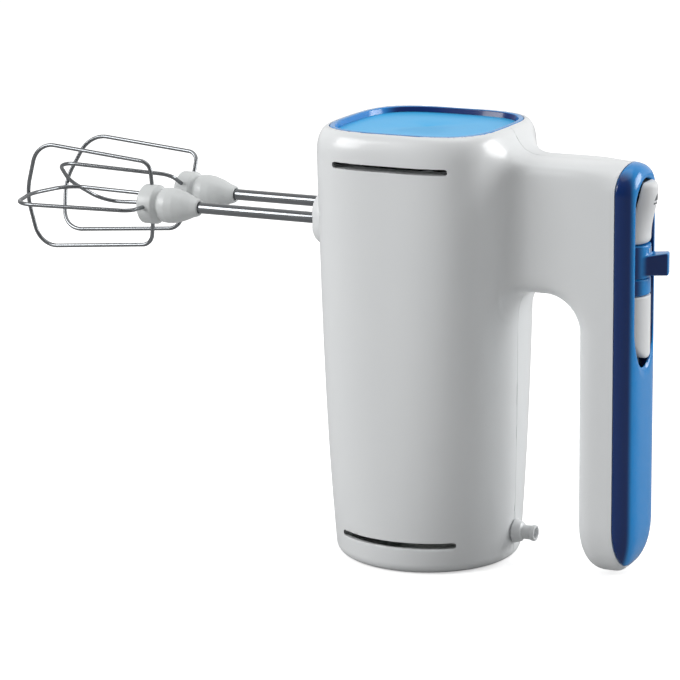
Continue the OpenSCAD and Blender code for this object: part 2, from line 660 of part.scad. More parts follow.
module speed_collar() color("#0b5a9c") translate([barrel_x, 0, collar_z]) {
    difference() {
        cylinder(r = barrel_r, h = collar_h);
        translate([0, 0, -1]) cylinder(r = post_core_r + run_gap, h = post_top - collar_z + 1.5);
    }
    rotate([0, 0, lever_off]) hull() {
        translate([barrel_r - 2, 0, 6]) cube([2, 10, 9.6], center = true);
        translate([lever_reach - 1, 0, 6.4]) cube([2, 6, 10.8], center = true);
    }
}

switch_h = 20;
switch_x = handle_in + wall + 0.6;
switch_w = handle_w - 2 * wall - 13.2;
// Room for the turbo button's spring, which closes by the travel
turbo_spring_room = turbo_travel + 3.5;
turbo_back = barrel_back + 8;
turbo_switch_x = turbo_back - turbo_spring_room - 3.1;
module switch_block() color("#33383d") translate([switch_x, -switch_w / 2, ring_z - 6 - switch_h])
    cube([turbo_switch_x - cover_gap - switch_x, switch_w, switch_h]);
module turbo_switch() color("#20252a") translate([turbo_switch_x, -4, turbo_z + 8]) cube([3, 8, 12]);

// Front skin of the barrel, flat behind, for a button from z to z + height
module barrel_front(r, z, height, back) intersection() {
    translate([barrel_x, 0, z]) cylinder(r = r, h = height);
    translate([back, -r, z]) cube([3 * r, 2 * r, height]);
}
module turbo_button() color(shell_white) intersection() {
    barrel_front(barrel_r, turbo_z, turbo_h, turbo_back);
    translate([barrel_x - 20, 0, 0]) along_x() linear_extrude(60) hull() {
        translate([-turbo_z - 6.2, 0]) circle(r = 6);
        translate([-turbo_z - 16, 0]) circle(r = barrel_r - button_gap);
        translate([-turbo_z - turbo_h, -barrel_r + button_gap]) square([1, 2 * (barrel_r - button_gap)]);
    }
}
module turbo_spring() color("silver")
    translate([turbo_switch_x + 3.1, 0, turbo_z + 22]) along_x()
        coil(2.4, 0.4, turbo_spring_room - 0.1, 5);

paddle_back = barrel_back + 2;
paddle_proud = 3.4;
// Thumb paddle: a pad that swells out at its upper part, on a dark skirt
module eject_paddle() color(shell_white) hull() {
    translate([barrel_x + 5, 0, paddle_z + 3]) along_x() cylinder(r = 2.6, h = barrel_r - 5.6, $fn = 32);
    translate([barrel_x + 5, 0, paddle_top - 8.2]) along_x()
        cylinder(r = 8, h = barrel_r - 5 + paddle_proud, $fn = 32);
    translate([barrel_x + 5, 0, paddle_z + 13]) along_x() cylinder(r = 4, h = barrel_r - 5, $fn = 32);
}
module eject_skirt() color("#26343d") difference() {
    barrel_front(barrel_r - button_gap, paddle_z, paddle_h, paddle_back);
    translate([barrel_x + 5 - sliver, -barrel_r, paddle_z - 1]) cube([20, 2 * barrel_r, paddle_h + 2]);
}
plate_x = spindle_back + eject_travel + 1.5;
plate_t = 2.4;
stop_x = paddle_back - 8;
module ejector_rod() color("#5b6166") translate([plate_x + plate_t, 0, rod_z]) along_x() {
    cylinder(r = 2.5, h = paddle_back - plate_x - plate_t);
    translate([0, 0, stop_x - plate_x - plate_t]) cylinder(r = 5, h = 2);
}
module ejector_plate() color("#5b6166") {
    translate([plate_x, -spindle_y - 4, spindle_z - 4]) cube([plate_t, spindle_pitch + 8, 8]);
    translate([plate_x, -5, spindle_z - 4]) cube([plate_t, 10, rod_z + 9 - spindle_z]);
    for (s = [-1, 1]) translate([beater_end + 0.2, s * spindle_y, spindle_z]) along_x()
        cylinder(r = beater_r - 0.3, h = plate_x - beater_end - 0.2);
}
guide_x = nose_r + 16;
module rod_guide() color("#3c4248") difference() {
    translate([guide_x, -handle_w / 2 + wall + 0.4, rod_z - 8])
        cube([3, handle_w - 2 * wall - 0.8, 16]);
    translate([guide_x - 1, 0, rod_z]) along_x() cylinder(r = 2.5 + slide_gap, h = 6);
}
module eject_spring() color("silver") translate([guide_x + 3.1, 0, rod_z]) along_x()
    coil(3.6, 0.45, stop_x - guide_x - 3.2, 6);

body_shell_left();
body_shell_right();
nose_cap();
handle_cover();
beater_boss();
cord_gland();
housing_screws();
gear_case();
front_bush_left();
front_bush_right();
rear_bush_left();
rear_bush_right();
motor_stator();
field_winding_upper();
field_winding_lower();
motor_bracket_upper();
motor_bracket_lower();
nose_bearing();
upper_bearing();
lower_bearing();
motor_bolts();
brush_holder_left();
brush_holder_right();
carbon_brush_left();
carbon_brush_right();
brush_springs();
circuit_board();
noise_capacitor();
choke_coil();
switch_block();
control_post();
fixed_ring();
turbo_switch();
rod_guide();
rotor_shaft();
armature_core();
armature_winding();
commutator();
worm();
cooling_fan();
spindle_left();
spindle_right();
worm_gear_left();
worm_gear_right();
beater_shaft_left();
beater_collar_left();
beater_loop_a_left();
beater_loop_b_left();
beater_shaft_right();
beater_collar_right();
beater_loop_a_right();
beater_loop_b_right();
eject_paddle();
eject_skirt();
ejector_rod();
ejector_plate();
eject_spring();
speed_collar();
turbo_button();
turbo_spring();
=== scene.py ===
"""Hand mixer standing on its heel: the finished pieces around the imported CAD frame.

+Z runs from heel to nose, the beaters point to -X and the handle is at +X. The origin is the
centre of the heel's resting face. Sizes below are in millimetres; meshes are made in metres.
"""

import json
import logging
import math
from collections.abc import Callable, Sequence
from dataclasses import dataclass, field
from enum import Enum

import bmesh
import bpy
import numpy as np
from mathutils import Matrix, Vector


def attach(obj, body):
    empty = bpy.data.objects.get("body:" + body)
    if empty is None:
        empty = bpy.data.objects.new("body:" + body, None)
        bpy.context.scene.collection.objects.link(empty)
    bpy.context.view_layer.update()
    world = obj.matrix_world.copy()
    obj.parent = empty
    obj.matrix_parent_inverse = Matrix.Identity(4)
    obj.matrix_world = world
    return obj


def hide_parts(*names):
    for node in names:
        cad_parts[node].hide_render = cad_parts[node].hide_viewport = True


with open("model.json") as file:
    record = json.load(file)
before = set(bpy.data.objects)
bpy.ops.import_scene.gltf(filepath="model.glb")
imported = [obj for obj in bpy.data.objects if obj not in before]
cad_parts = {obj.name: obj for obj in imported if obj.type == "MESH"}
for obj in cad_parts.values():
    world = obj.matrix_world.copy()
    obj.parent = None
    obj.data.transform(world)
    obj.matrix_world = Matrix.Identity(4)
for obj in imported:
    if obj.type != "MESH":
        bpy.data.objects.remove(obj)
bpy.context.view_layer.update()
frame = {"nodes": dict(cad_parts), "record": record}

logging.basicConfig(level=logging.INFO, format="%(message)s")
log = logging.getLogger("hand_mixer")

MM = 0.001
CREASE = 35.0
BEATER_Y = 19.0
BEATER_Z = 164.6
Array = np.ndarray
Shape = Callable[[Array, Array, Array], Array]
Colour = tuple[float, float, float]


# ---- Shared finishes ------------------------------------------------------------------


class Surface(Enum):
    """How a finish is made up in nodes."""

    MOULDED = "moulded"
    METAL = "metal"
    BRUSHED = "brushed"


class Grouped(Enum):
    """Names of the node groups that several finishes share."""

    GRAIN = "fine_grain"
    WEAR = "edge_wear"
    DUST = "settled_dust"
    # Painted shade: a darker colour on faces turned sideways.
    PAINTED_FLANK_SHADE = "painted_flank_shade_mask"


def new_group(name: str, ins: dict[str, tuple[str, float]], outs: dict[str, str]) -> bpy.types.NodeTree:
    """Starts a shader node group with named sockets.

    Args:
        name: The group's name.
        ins: Input names, each with its socket type and default value.
        outs: Output names, each with its socket type.

    Returns:
        The group's tree, with its input and output nodes in place.
    """
    tree = bpy.data.node_groups.new(name, "ShaderNodeTree")
    for label, (kind, value) in ins.items():
        socket = tree.interface.new_socket(label, in_out="INPUT", socket_type=kind)
        if kind == "NodeSocketFloat":
            socket.default_value = value
    for label, kind in outs.items():
        tree.interface.new_socket(label, in_out="OUTPUT", socket_type=kind)
    tree.nodes.new("NodeGroupInput")
    tree.nodes.new("NodeGroupOutput")
    return tree


def math_node(tree: bpy.types.NodeTree, kind: str, *values: object) -> bpy.types.NodeSocket:
    """Adds a Math node.

    Args:
        tree: The tree that takes the node.
        kind: The operation.
        values: Numbers or sockets for its inputs, in order.

    Returns:
        The node's output socket.
    """
    node = tree.nodes.new("ShaderNodeMath")
    node.operation = kind
    for socket, value in zip(node.inputs, values):
        if isinstance(value, bpy.types.NodeSocket):
            tree.links.new(value, socket)
        else:
            socket.default_value = value
    return node.outputs[0]


def noise_node(tree: bpy.types.NodeTree, place: bpy.types.NodeSocket, scale: object, detail: float
               ) -> bpy.types.NodeSocket:
    """Adds a Noise Texture on the given coordinates.

    Args:
        tree: The tree that takes the node.
        place: Socket with the coordinates.
        scale: The noise's scale, a number or a socket.
        detail: How many octaves it has.

    Returns:
        The noise's value socket.
    """
    node = tree.nodes.new("ShaderNodeTexNoise")
    tree.links.new(place, node.inputs["Vector"])
    if isinstance(scale, bpy.types.NodeSocket):
        tree.links.new(scale, node.inputs["Scale"])
    else:
        node.inputs["Scale"].default_value = scale
    node.inputs["Detail"].default_value = detail
    return node.outputs["Fac"]


def grain_group() -> bpy.types.NodeTree:
    """Group for the fine unevenness of a moulded or rolled surface."""
    tree = new_group(Grouped.GRAIN.value,
                     {"Place": ("NodeSocketVector", 0.0), "Scale": ("NodeSocketFloat", 900.0),
                      "Stretch": ("NodeSocketFloat", 1.0)},
                     {"Height": "NodeSocketFloat", "Cloud": "NodeSocketFloat"})
    source, sink = tree.nodes["Group Input"], tree.nodes["Group Output"]
    split = tree.nodes.new("ShaderNodeSeparateXYZ")
    join = tree.nodes.new("ShaderNodeCombineXYZ")
    tree.links.new(source.outputs["Place"], split.inputs[0])
    tree.links.new(math_node(tree, "DIVIDE", split.outputs[0], source.outputs["Stretch"]), join.inputs[0])
    tree.links.new(split.outputs[1], join.inputs[1])
    tree.links.new(split.outputs[2], join.inputs[2])
    fine = noise_node(tree, join.outputs[0], source.outputs["Scale"], 2.0)
    broad = noise_node(tree, source.outputs["Place"], 22.0, 3.0)
    tree.links.new(fine, sink.inputs["Height"])
    tree.links.new(broad, sink.inputs["Cloud"])
    return tree


def wear_group() -> bpy.types.NodeTree:
    """Group for edges that handling has rubbed lighter."""
    tree = new_group(Grouped.WEAR.value,
                     {"Place": ("NodeSocketVector", 0.0), "Amount": ("NodeSocketFloat", 0.2)},
                     {"Mask": "NodeSocketFloat"})
    source, sink = tree.nodes["Group Input"], tree.nodes["Group Output"]
    edge = tree.nodes.new("ShaderNodeNewGeometry").outputs["Pointiness"]
    raised = math_node(tree, "MULTIPLY", math_node(tree, "SUBTRACT", edge, 0.52), 9.0)
    patchy = noise_node(tree, source.outputs["Place"], 260.0, 4.0)
    rubbed = math_node(tree, "MULTIPLY", raised, patchy)
    scaled = math_node(tree, "MULTIPLY", rubbed, source.outputs["Amount"])
    limit = tree.nodes.new("ShaderNodeClamp")
    tree.links.new(scaled, limit.inputs["Value"])
    tree.links.new(limit.outputs[0], sink.inputs["Mask"])
    return tree


def dust_group() -> bpy.types.NodeTree:
    """Group for the faint dust that settles on what faces up."""
    tree = new_group(Grouped.DUST.value,
                     {"Place": ("NodeSocketVector", 0.0), "Amount": ("NodeSocketFloat", 0.1)},
                     {"Mask": "NodeSocketFloat"})
    source, sink = tree.nodes["Group Input"], tree.nodes["Group Output"]
    split = tree.nodes.new("ShaderNodeSeparateXYZ")
    tree.links.new(tree.nodes.new("ShaderNodeNewGeometry").outputs["Normal"], split.inputs[0])
    up = math_node(tree, "MAXIMUM", math_node(tree, "SUBTRACT", split.outputs[2], 0.4), 0.0)
    speck = noise_node(tree, source.outputs["Place"], 480.0, 5.0)
    tree.links.new(math_node(tree, "MULTIPLY", math_node(tree, "MULTIPLY", up, speck),
                             source.outputs["Amount"]), sink.inputs["Mask"])
    return tree


def painted_flank_shade_group() -> bpy.types.NodeTree:
    """Group for painted shade: a mask for faces turned sideways (along Y), where a darker colour is painted in
    as the shade those faces get.
    """
    tree = new_group(Grouped.PAINTED_FLANK_SHADE.value, {"Facing": ("NodeSocketVector", 0.0)}, {"Mask": "NodeSocketFloat"})
    source, sink = tree.nodes["Group Input"], tree.nodes["Group Output"]
    split = tree.nodes.new("ShaderNodeSeparateXYZ")
    tree.links.new(source.outputs["Facing"], split.inputs[0])
    turned = tree.nodes.new("ShaderNodeMapRange")
    turned.interpolation_type = "SMOOTHSTEP"
    tree.links.new(math_node(tree, "ABSOLUTE", split.outputs[1]), turned.inputs["Value"])
    turned.inputs["From Min"].default_value = 0.35
    turned.inputs["From Max"].default_value = 0.75
    tree.links.new(turned.outputs["Result"], sink.inputs["Mask"])
    return tree


@dataclass(frozen=True)
class Finish:
    """One finish: its colours and how its surface takes the light."""

    name: str
    colour: Colour
    second: Colour
    roughness: float
    surface: Surface = Surface.MOULDED
    coat: float = 0.0
    coat_roughness: float = 0.06
    grain_scale: float = 1400.0
    grain_depth: float = 0.02
    stretch: float = 1.0
    wear: float = 0.15
    dust: float = 0.06
    sheer: float = 0.5
    # Colour painted on faces turned sideways as their shade, or None.
    painted_flank: Colour | None = None

    def build(self) -> bpy.types.Material:
        """Makes the material, or returns it if it is already made.

        Returns:
            The Blender material of this finish.
        """
        label = f"{self.name}_finish"
        found = bpy.data.materials.get(label)
        if found:
            return found
        material = bpy.data.materials.new(label)
        material.use_nodes = True
        tree = material.node_tree
        shader = tree.nodes["Principled BSDF"]
        place = tree.nodes.new("ShaderNodeTexCoord").outputs["Object"]
        grain = self._shared(tree, Grouped.GRAIN, place, {"Scale": self.grain_scale, "Stretch": self.stretch})
        wear = self._shared(tree, Grouped.WEAR, place, {"Amount": self.wear})
        dust = self._shared(tree, Grouped.DUST, place, {"Amount": self.dust})
        tone = self._mix(tree, grain.outputs["Cloud"], (*self.colour, 1), (*self.second, 1))
        # Painted shade: faces turned along Y take the darker colour in place of real shading.
        if self.painted_flank:
            painted_flank = tree.nodes.new("ShaderNodeGroup")
            painted_flank.node_tree = bpy.data.node_groups.get(Grouped.PAINTED_FLANK_SHADE.value) or painted_flank_shade_group()
            tree.links.new(tree.nodes.new("ShaderNodeTexCoord").outputs["Normal"], painted_flank.inputs["Facing"])
            tone = self._mix(tree, painted_flank.outputs["Mask"], tone, (*self.painted_flank, 1))
        lighter = tuple(min(1.0, 0.25 + 0.8 * c) for c in self.colour)
        worn = self._mix(tree, wear.outputs["Mask"], tone, (*lighter, 1))
        dusty = self._mix(tree, dust.outputs["Mask"], worn, (0.62, 0.61, 0.58, 1))
        tree.links.new(dusty, shader.inputs["Base Color"])
        self._roughness(tree, shader, grain, dust)
        bump = tree.nodes.new("ShaderNodeBump")
        bump.inputs["Strength"].default_value = 0.35
        bump.inputs["Distance"].default_value = self.grain_depth * MM
        tree.links.new(grain.outputs["Height"], bump.inputs["Height"])
        tree.links.new(bump.outputs[0], shader.inputs["Normal"])
        metal = self.surface is not Surface.MOULDED
        shader.inputs["Metallic"].default_value = 1.0 if metal else 0.0
        shader.inputs["Specular IOR Level"].default_value = self.sheer
        shader.inputs["Coat Weight"].default_value = self.coat
        shader.inputs["Coat Roughness"].default_value = self.coat_roughness
        if self.surface is Surface.BRUSHED:
            shader.inputs["Anisotropic"].default_value = 0.5
        return material

    def _shared(self, tree: bpy.types.NodeTree, group: Grouped, place: bpy.types.NodeSocket,
                values: dict[str, float]) -> bpy.types.Node:
        """Places a shared group in the material.

        Args:
            tree: The material's tree.
            group: Which shared group.
            place: Socket with the coordinates.
            values: The group's own values here.

        Returns:
            The group node.
        """
        makers = {Grouped.GRAIN: grain_group, Grouped.WEAR: wear_group, Grouped.DUST: dust_group}
        node = tree.nodes.new("ShaderNodeGroup")
        node.node_tree = bpy.data.node_groups.get(group.value) or makers[group]()
        tree.links.new(place, node.inputs["Place"])
        for label, value in values.items():
            node.inputs[label].default_value = value
        return node

    def _mix(self, tree: bpy.types.NodeTree, share: bpy.types.NodeSocket, first: object, other: object
             ) -> bpy.types.NodeSocket:
        """Mixes two colours, each a socket or a constant.

        Args:
            tree: The material's tree.
            share: Socket with the share of the second colour.
            first: The first colour.
            other: The second colour.

        Returns:
            The mixed colour's socket.
        """
        node = tree.nodes.new("ShaderNodeMix")
        node.data_type = "RGBA"
        tree.links.new(share, node.inputs["Factor"])
        for label, value in (("A", first), ("B", other)):
            socket = next(s for s in node.inputs if s.name == label and s.type == "RGBA")
            if isinstance(value, bpy.types.NodeSocket):
                tree.links.new(value, socket)
            else:
                socket.default_value = value
        return next(s for s in node.outputs if s.type == "RGBA")

    def _roughness(self, tree: bpy.types.NodeTree, shader: bpy.types.Node, grain: bpy.types.Node,
                   dust: bpy.types.Node) -> None:
        """Links a roughness that wanders a little and rises under dust.

        Args:
            tree: The material's tree.
            shader: The material's shader node.
            grain: The grain group's node.
            dust: The dust group's node.
        """
        swing = math_node(tree, "MULTIPLY_ADD", grain.outputs["Cloud"], 0.25 * self.roughness,
                          0.88 * self.roughness)
        tree.links.new(math_node(tree, "ADD", swing, dust.outputs["Mask"]), shader.inputs["Roughness"])


FINISHES: dict[str, Finish] = {f.name: f for f in (
    Finish("shell_white", (0.80, 0.815, 0.82), (0.77, 0.79, 0.80), 0.30, coat=0.25, coat_roughness=0.1,
           grain_depth=0.012, wear=0.05),
    # Painted light: a paler copy of the cap's blue, lit as the up-facing dish floor is lit.
    Finish("nose_blue", (0.03, 0.44, 0.84), (0.025, 0.42, 0.81), 0.35, coat=0.05, sheer=0.3,
           grain_depth=0.01, wear=0.05),
    # Its dark colour on sideways faces is painted shade; the other colours are the blue plastic.
    Finish("cover_blue", (0.0, 0.24, 0.64), (0.0, 0.225, 0.6), 0.2, coat=0.3, sheer=0.3, grain_depth=0.01,
           wear=0.06, painted_flank=(0.0, 0.024, 0.14)),
    Finish("button_white", (0.76, 0.77, 0.78), (0.72, 0.735, 0.745), 0.5, grain_scale=1100.0, grain_depth=0.05),
    Finish("skirt_dark", (0.016, 0.03, 0.042), (0.012, 0.024, 0.034), 0.42, grain_depth=0.03),
    Finish("collar_grey", (0.66, 0.68, 0.68), (0.62, 0.64, 0.64), 0.38, coat=0.1, grain_depth=0.02),
    Finish("chassis_dark", (0.03, 0.035, 0.04), (0.022, 0.026, 0.03), 0.55, grain_scale=700.0,
           grain_depth=0.06),
    Finish("gear_nylon", (0.68, 0.63, 0.50), (0.62, 0.57, 0.44), 0.42, grain_depth=0.03),
    Finish("steel_bright", (0.25, 0.26, 0.27), (0.20, 0.21, 0.22), 0.2, Surface.METAL, grain_scale=1900.0,
           grain_depth=0.008, stretch=14.0, wear=0.0, dust=0.02),
    Finish("steel_plain", (0.42, 0.43, 0.45), (0.34, 0.35, 0.37), 0.34, Surface.BRUSHED, grain_scale=1300.0,
           stretch=6.0, grain_depth=0.02, wear=0.2),
    Finish("bracket_alloy", (0.52, 0.53, 0.55), (0.45, 0.46, 0.48), 0.48, Surface.METAL, grain_scale=600.0,
           grain_depth=0.06),
    Finish("bronze", (0.42, 0.25, 0.09), (0.35, 0.20, 0.07), 0.4, Surface.METAL, grain_scale=900.0,
           grain_depth=0.05),
    Finish("copper", (0.55, 0.20, 0.08), (0.42, 0.14, 0.05), 0.3, Surface.METAL, coat=0.4, grain_scale=500.0,
           stretch=0.15, grain_depth=0.12),
    Finish("brass", (0.62, 0.44, 0.14), (0.52, 0.36, 0.10), 0.32, Surface.BRUSHED, stretch=5.0),
    Finish("carbon", (0.018, 0.018, 0.019), (0.028, 0.028, 0.03), 0.7, grain_scale=800.0, grain_depth=0.08),
    Finish("board_green", (0.02, 0.13, 0.045), (0.03, 0.17, 0.06), 0.45, coat=0.3, grain_scale=350.0,
           grain_depth=0.04),
    Finish("capacitor_yellow", (0.62, 0.42, 0.05), (0.56, 0.38, 0.045), 0.3, coat=0.2),
    Finish("mark_grey", (0.10, 0.11, 0.12), (0.08, 0.09, 0.10), 0.5),
)}


# ---- Shape fields and their surfaces --------------------------------------------------


def quarter(t: Array, deep: float) -> Array:
    """Inset of a quarter ellipse: 0 where t is 0 and deep where t is 1."""
    return deep * (1 - np.sqrt(1 - np.clip(t, 0, 1) ** 2))


def soft_min(a: Array, b: Array, r: float) -> Array:
    """Joins two fields with a fillet of about the radius r."""
    near = np.clip(r - np.abs(a - b), 0, None) / r
    return np.minimum(a, b) - near * near * r / 4


def soft_max(a: Array, b: Array, r: float) -> Array:
    """Keeps what two fields share, with an edge rounded by about the radius r."""
    return -soft_min(-a, -b, r)


def carve(a: Array, b: Array, r: float) -> Array:
    """Takes the field b out of a, with an edge rounded by about the radius r."""
    return soft_max(a, -b, r)


@dataclass(frozen=True)
class Sampler:
    """Turns a shape's field into a closed mesh that keeps its crisp edges."""

    low: Sequence[float]
    high: Sequence[float]
    step: float

    def mesh(self, shape: Shape) -> tuple[Array, Array]:
        """Finds the surface where the field is zero.

        Args:
            shape: The field, below 0 inside.

        Returns:
            The corners in millimetres, and the faces as four corner numbers each.
        """
        low = np.array(self.low, float)
        size = np.ceil((np.array(self.high) - low) / self.step).astype(int) + 1
        lines = [low[a] + self.step * np.arange(size[a]) for a in range(3)]
        value = shape(*np.meshgrid(*lines, indexing="ij"))
        inside = value < 0
        counts = sum(inside[i:size[0] - 1 + i, j:size[1] - 1 + j, k:size[2] - 1 + k].astype(np.int8)
                     for i in (0, 1) for j in (0, 1) for k in (0, 1))
        mixed = (counts > 0) & (counts < 8)
        cell = np.argwhere(mixed)
        number = np.full(mixed.shape, -1)
        number[mixed] = np.arange(len(cell))
        faces, owners, points = [], [], []
        for axis in range(3):
            start, quads, places = self._edges(value, inside, number, axis, low)
            faces.append(quads)
            points.append(np.repeat(places, 4, axis=0))
            owners.append(start.ravel())
        owner, place = np.concatenate(owners), np.concatenate(points)
        known = owner >= 0
        owner, place = owner[known], place[known]
        for _ in range(2):
            place = self._settle(shape, place)
        corners = self._corners(shape, owner, place, cell, low)
        return corners, np.concatenate(faces)

    def _edges(self, value: Array, inside: Array, number: Array, axis: int, low: Array
               ) -> tuple[Array, Array, Array]:
        """Finds where the surface crosses the grid lines along one axis.

        Args:
            value: The field on the grid.
            inside: Where it is below 0.
            number: Each cell's corner number, or -1.
            axis: The axis of the grid lines.
            low: The grid's lowest corner.

        Returns:
            The four cells round each crossing, the faces, and the crossing places.
        """
        first = np.take(inside, range(inside.shape[axis] - 1), axis)
        second = np.take(inside, range(1, inside.shape[axis]), axis)
        at = np.argwhere(first != second)
        after = at + np.eye(3, dtype=int)[axis]
        va, vb = value[tuple(at.T)], value[tuple(after.T)]
        place = low + self.step * (at + ((va / (va - vb))[:, None] * np.eye(3)[axis]))
        u, v = [a for a in range(3) if a != axis]
        ring = []
        for du, dv in ((-1, -1), (0, -1), (0, 0), (-1, 0)):
            near = at.copy()
            near[:, u] += du
            near[:, v] += dv
            valid = ((near >= 0) & (near < np.array(number.shape))).all(1)
            near = np.clip(near, 0, np.array(number.shape) - 1)
            ring.append(np.where(valid, number[tuple(near.T)], -1))
        cells = np.stack(ring, 1)
        turned = (va > 0) != (axis == 1)
        quads = np.where(turned[:, None], cells[:, ::-1], cells)
        return cells, quads[(cells >= 0).all(1)], place

    def _slope(self, shape: Shape, place: Array) -> Array:
        """Gradient of the field at each place."""
        reach = 0.02
        found = np.empty_like(place)
        for a in range(3):
            step = np.eye(3)[a] * reach
            found[:, a] = (shape(*(place + step).T) - shape(*(place - step).T)) / (2 * reach)
        return found

    def _settle(self, shape: Shape, place: Array) -> Array:
        """Moves each place onto the surface along the field's gradient."""
        slope = self._slope(shape, place)
        reach = shape(*place.T) / np.maximum((slope ** 2).sum(1), 1e-6)
        move = -reach[:, None] * slope
        length = np.linalg.norm(move, axis=1, keepdims=True)
        return place + move * np.minimum(1, 0.4 * self.step / np.maximum(length, 1e-9))

    def _corners(self, shape: Shape, owner: Array, place: Array, cell: Array, low: Array) -> Array:
        """Places one corner in each cell, on the edge or tip where faces of the shape meet.

        Args:
            shape: The field.
            owner: The cell that each crossing belongs to.
            place: The crossings.
            cell: Each cell's grid indices.
            low: The grid's lowest corner.

        Returns:
            The corners.
        """
        slope = self._slope(shape, place)
        normal = slope / np.maximum(np.linalg.norm(slope, axis=1, keepdims=True), 1e-9)
        count = len(cell)

        def gather(values: Array) -> Array:
            """Sums the values of each cell's crossings."""
            return np.bincount(owner, weights=values, minlength=count)

        share = np.maximum(gather(np.ones(len(owner))), 1)
        middle = np.stack([gather(place[:, a]) / share for a in range(3)], 1)
        offset = (normal * (place - middle[owner])).sum(1)
        matrix = np.empty((count, 3, 3))
        right = np.empty((count, 3))
        for a in range(3):
            right[:, a] = gather(normal[:, a] * offset)
            for b in range(3):
                matrix[:, a, b] = gather(normal[:, a] * normal[:, b])
        matrix += np.eye(3) * 0.06
        corner = middle + np.linalg.solve(matrix, right[:, :, None])[:, :, 0]
        base = low + self.step * cell
        return np.clip(corner, base, base + self.step)


def make_piece(name: str, corners: Array, faces: Sequence[Sequence[int]], finish: str, crease: float = CREASE
               ) -> bpy.types.Object:
    """Makes a finished piece from corners in millimetres.

    Args:
        name: The piece's name.
        corners: Its corners.
        faces: Its faces as corner numbers.
        finish: The name of its finish.
        crease: Angle in degrees past which an edge stays crisp.

    Returns:
        The new object, at the origin.
    """
    mesh = bpy.data.meshes.new(name)
    mesh.from_pydata((np.asarray(corners) * MM).tolist(), [], [list(map(int, f)) for f in faces])
    mesh.validate()
    mesh.polygons.foreach_set("use_smooth", [True] * len(mesh.polygons))
    mesh.set_sharp_from_angle(angle=math.radians(crease))
    mesh.materials.append(FINISHES[finish].build())
    piece = bpy.data.objects.new(name, mesh)
    bpy.context.scene.collection.objects.link(piece)
    return piece


def ring_faces(rings: int, count: int, last: int) -> list[tuple[int, int, int, int]]:
    """Faces between neighbouring rings of corners.

    Args:
        rings: How many rings there are; the last one joins the first.
        count: Corners in each ring.
        last: How many bands of faces are made.

    Returns:
        The faces as four corner numbers each.
    """
    return [(i * count + k, i * count + (k + 1) % count, (i + 1) % rings * count + (k + 1) % count,
             (i + 1) % rings * count + k) for i in range(last) for k in range(count)]


def close_up(piece: bpy.types.Object, crease: float | None = None) -> bpy.types.Object:
    """Merges a piece's doubles, turns its faces outward and, given a crease angle, marks edges past it."""
    work = bmesh.new()
    work.from_mesh(piece.data)
    bmesh.ops.remove_doubles(work, verts=work.verts, dist=1e-6)
    bmesh.ops.dissolve_degenerate(work, edges=work.edges, dist=1e-7)
    bmesh.ops.recalc_face_normals(work, faces=work.faces)
    work.to_mesh(piece.data)
    work.free()
    if crease:
        piece.data.set_sharp_from_angle(angle=math.radians(crease))
    return piece


def rounded(outline: Sequence[tuple[float, float]], radius: float, steps: int, closed: bool = True
            ) -> list[tuple[float, float]]:
    """Rounds the corners of an outline.

    Args:
        outline: Its corners in order.
        radius: Radius of the rounding, less where an edge is short.
        steps: Pieces in each rounding.
        closed: Whether the last corner joins the first.

    Returns:
        The rounded outline.
    """
    count, done = len(outline), []
    for i, corner in enumerate(outline):
        if not closed and i in (0, count - 1):
            done.append(tuple(corner))
            continue
        b = Vector(corner)
        a, c = Vector(outline[i - 1]) - b, Vector(outline[(i + 1) % count]) - b
        reach = min(a.length, c.length) * 0.49
        half = a.angle(c) / 2
        size = min(radius, reach * math.tan(half)) if half > 1e-3 else 0
        if size < 1e-6 or half > math.pi / 2 - 0.02:
            done.append(tuple(corner))
            continue
        a.normalize(), c.normalize()
        middle = b + (a + c).normalized() * size / math.sin(half)
        start, end = b + a * size / math.tan(half) - middle, b + c * size / math.tan(half) - middle
        sweep = math.atan2(start.x * end.y - start.y * end.x, start.dot(end))
        for k in range(steps + 1):
            turn = Matrix.Rotation(sweep * k / steps, 2)
            done.append(tuple(middle + turn @ start))
    return done


def lathe(name: str, profile: Sequence[tuple[float, float]], origin: Sequence[float], finish: str,
          count: int = 72) -> bpy.types.Object:
    """Turns a profile about a line along +X.

    Args:
        name: The piece's name.
        profile: Places along the line, each with its radius.
        origin: Where the line starts.
        finish: The name of the piece's finish.
        count: Faces round the line.

    Returns:
        The new object.
    """
    turn = np.arange(count) * 2 * math.pi / count
    rings = np.array([[(origin[0] + x, origin[1] + r * math.cos(t), origin[2] + r * math.sin(t))
                       for t in turn] for x, r in profile])
    faces = ring_faces(len(profile), count, len(profile))
    return close_up(make_piece(name, rings.reshape(-1, 3), faces, finish), CREASE)


def settle(piece: bpy.types.Object, body: str, slot: str | None, *nodes: str) -> bpy.types.Object:
    """Rides a piece on its body, hides the CAD nodes that it replaces and logs its face count.

    Args:
        piece: The finished piece.
        body: The CAD body that it moves with.
        slot: The record's material slot, or None; not used.
        nodes: The CAD nodes that it replaces.

    Returns:
        The same piece.
    """
    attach(piece, body)
    if nodes:
        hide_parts(*nodes)
    log.info("%s rides %s, %d faces", piece.name, body, len(piece.data.polygons))
    return piece


def sample(name: str, grid: Sampler, shape: Shape, finish: str, body: str, *nodes: str, crease: float = CREASE
           ) -> bpy.types.Object:
    """Makes a piece from a field and settles it.

    Args:
        name: The piece's name.
        grid: The sampler that covers it.
        shape: The field, below 0 inside.
        finish: The name of its finish, also passed to settle as its unused slot.
        body: The CAD body that it moves with.
        nodes: The CAD nodes that it replaces.
        crease: Angle in degrees past which an edge stays crisp.

    Returns:
        The settled piece.
    """
    corners, faces = grid.mesh(shape)
    return settle(make_piece(name, corners, faces, finish, crease), body, finish, *nodes)


# ---- Geometry Nodes -------------------------------------------------------------------


